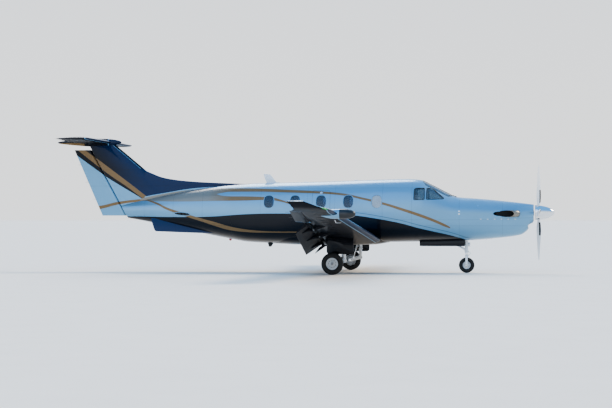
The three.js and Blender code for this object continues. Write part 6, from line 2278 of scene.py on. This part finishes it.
class BuildDoors(bpy.types.Operator):
    """Makes the airstair door and the cargo door"""

    bl_idname = "aircraft.build_doors"
    bl_label = "Doors"

    def execute(self, context):
        build_airstair()
        build_cargo_door()
        return {"FINISHED"}


class BuildGlazing(bpy.types.Operator):
    """Makes the cockpit and cabin windows with their frames, seals and a blind"""

    bl_idname = "aircraft.build_glazing"
    bl_label = "Glazing"

    def execute(self, context):
        build_cockpit_glass()
        build_cabin_glass()
        build_window_frames()
        return {"FINISHED"}


class BuildCabin(bpy.types.Operator):
    """Makes the seats and dresses the floor, bulkhead and instrument panel"""

    bl_idname = "aircraft.build_cabin"
    bl_label = "Cabin"

    def execute(self, context):
        build_seats()
        build_panel()
        dress_cad("cabin_floor", "carpet")
        dress_cad("aft_bulkhead", "trim")
        return {"FINISHED"}


class BuildEngine(bpy.types.Operator):
    """Makes the exhaust ducts, the propeller and the spinner"""

    bl_idname = "aircraft.build_engine"
    bl_label = "Engine and propeller"

    def execute(self, context):
        dress_cad("engine_block", "cast_metal")
        build_exhaust()
        build_propeller()
        return {"FINISHED"}


class BuildWings(bpy.types.Operator):
    """Makes the wings, flaps, ailerons, centre fairing and radar pod"""

    bl_idname = "aircraft.build_wings"
    bl_label = "Wings"

    def execute(self, context):
        build_wings()
        build_centre_fairing()
        build_pod()
        return {"FINISHED"}


class BuildTail(bpy.types.Operator):
    """Makes the fin, rudder, tailplane, elevators and strakes"""

    bl_idname = "aircraft.build_tail"
    bl_label = "Tail"

    def execute(self, context):
        build_fin()
        build_rudder()
        build_tailplane()
        build_strakes()
        return {"FINISHED"}


class BuildGear(bpy.types.Operator):
    """Makes the landing gear legs, doors and wheels"""

    bl_idname = "aircraft.build_gear"
    bl_label = "Landing gear"

    def execute(self, context):
        build_main_gear()
        build_nose_gear()
        build_wheel("nose_wheel", NOSE_WHEEL)
        build_wheel("main_wheel_left", MAIN_WHEEL)
        build_wheel("main_wheel_right", dict(MAIN_WHEEL, y=-MAIN_WHEEL["y"]))
        return {"FINISHED"}


class BuildFittings(bpy.types.Operator):
    """Makes the antennas, exit, outlet, lamps, probes and static wicks"""

    bl_idname = "aircraft.build_fittings"
    bl_label = "Small fittings"

    def execute(self, context):
        build_antennas()
        build_exit()
        build_outlet()
        build_skin_fittings()
        build_panels_and_caps()
        build_belly_fittings()
        build_wing_fittings()
        build_tail_fittings()
        return {"FINISHED"}


class BuildStudio(bpy.types.Operator):
    """Makes the floor, the lights and the camera"""

    bl_idname = "aircraft.build_studio"
    bl_label = "Studio"

    def execute(self, context):
        build_studio(context.scene.aircraft_studio)
        return {"FINISHED"}


BUILDERS = (BuildFuselage, BuildDoors, BuildGlazing, BuildCabin, BuildEngine, BuildWings, BuildTail,
            BuildGear, BuildFittings, BuildStudio)


class AircraftPanel(bpy.types.Panel):
    """Lists the steps that dress the aircraft"""

    bl_idname = "VIEW3D_PT_aircraft"
    bl_label = "Turboprop Aircraft"
    bl_space_type = "VIEW_3D"
    bl_region_type = "UI"
    bl_category = "Aircraft"

    def draw(self, context):
        column = self.layout.column()
        for builder in BUILDERS:
            column.operator(builder.bl_idname)
        for group in (context.scene.aircraft_livery, context.scene.aircraft_studio):
            for name in group.__annotations__:
                column.prop(group, name)


CLASSES = (AircraftLivery, AircraftStudio, *BUILDERS, AircraftPanel)


def register():
    for cls in CLASSES:
        bpy.utils.register_class(cls)
    bpy.types.Scene.aircraft_livery = bpy.props.PointerProperty(type=AircraftLivery)
    bpy.types.Scene.aircraft_studio = bpy.props.PointerProperty(type=AircraftStudio)


def unregister():
    del bpy.types.Scene.aircraft_studio
    del bpy.types.Scene.aircraft_livery
    for cls in reversed(CLASSES):
        bpy.utils.unregister_class(cls)


def main():
    """Registers the add-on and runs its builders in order."""
    register()
    for builder in BUILDERS:
        group, name = builder.bl_idname.split(".")
        getattr(getattr(bpy.ops, group), name)()


if __name__ == "__main__":
    main()
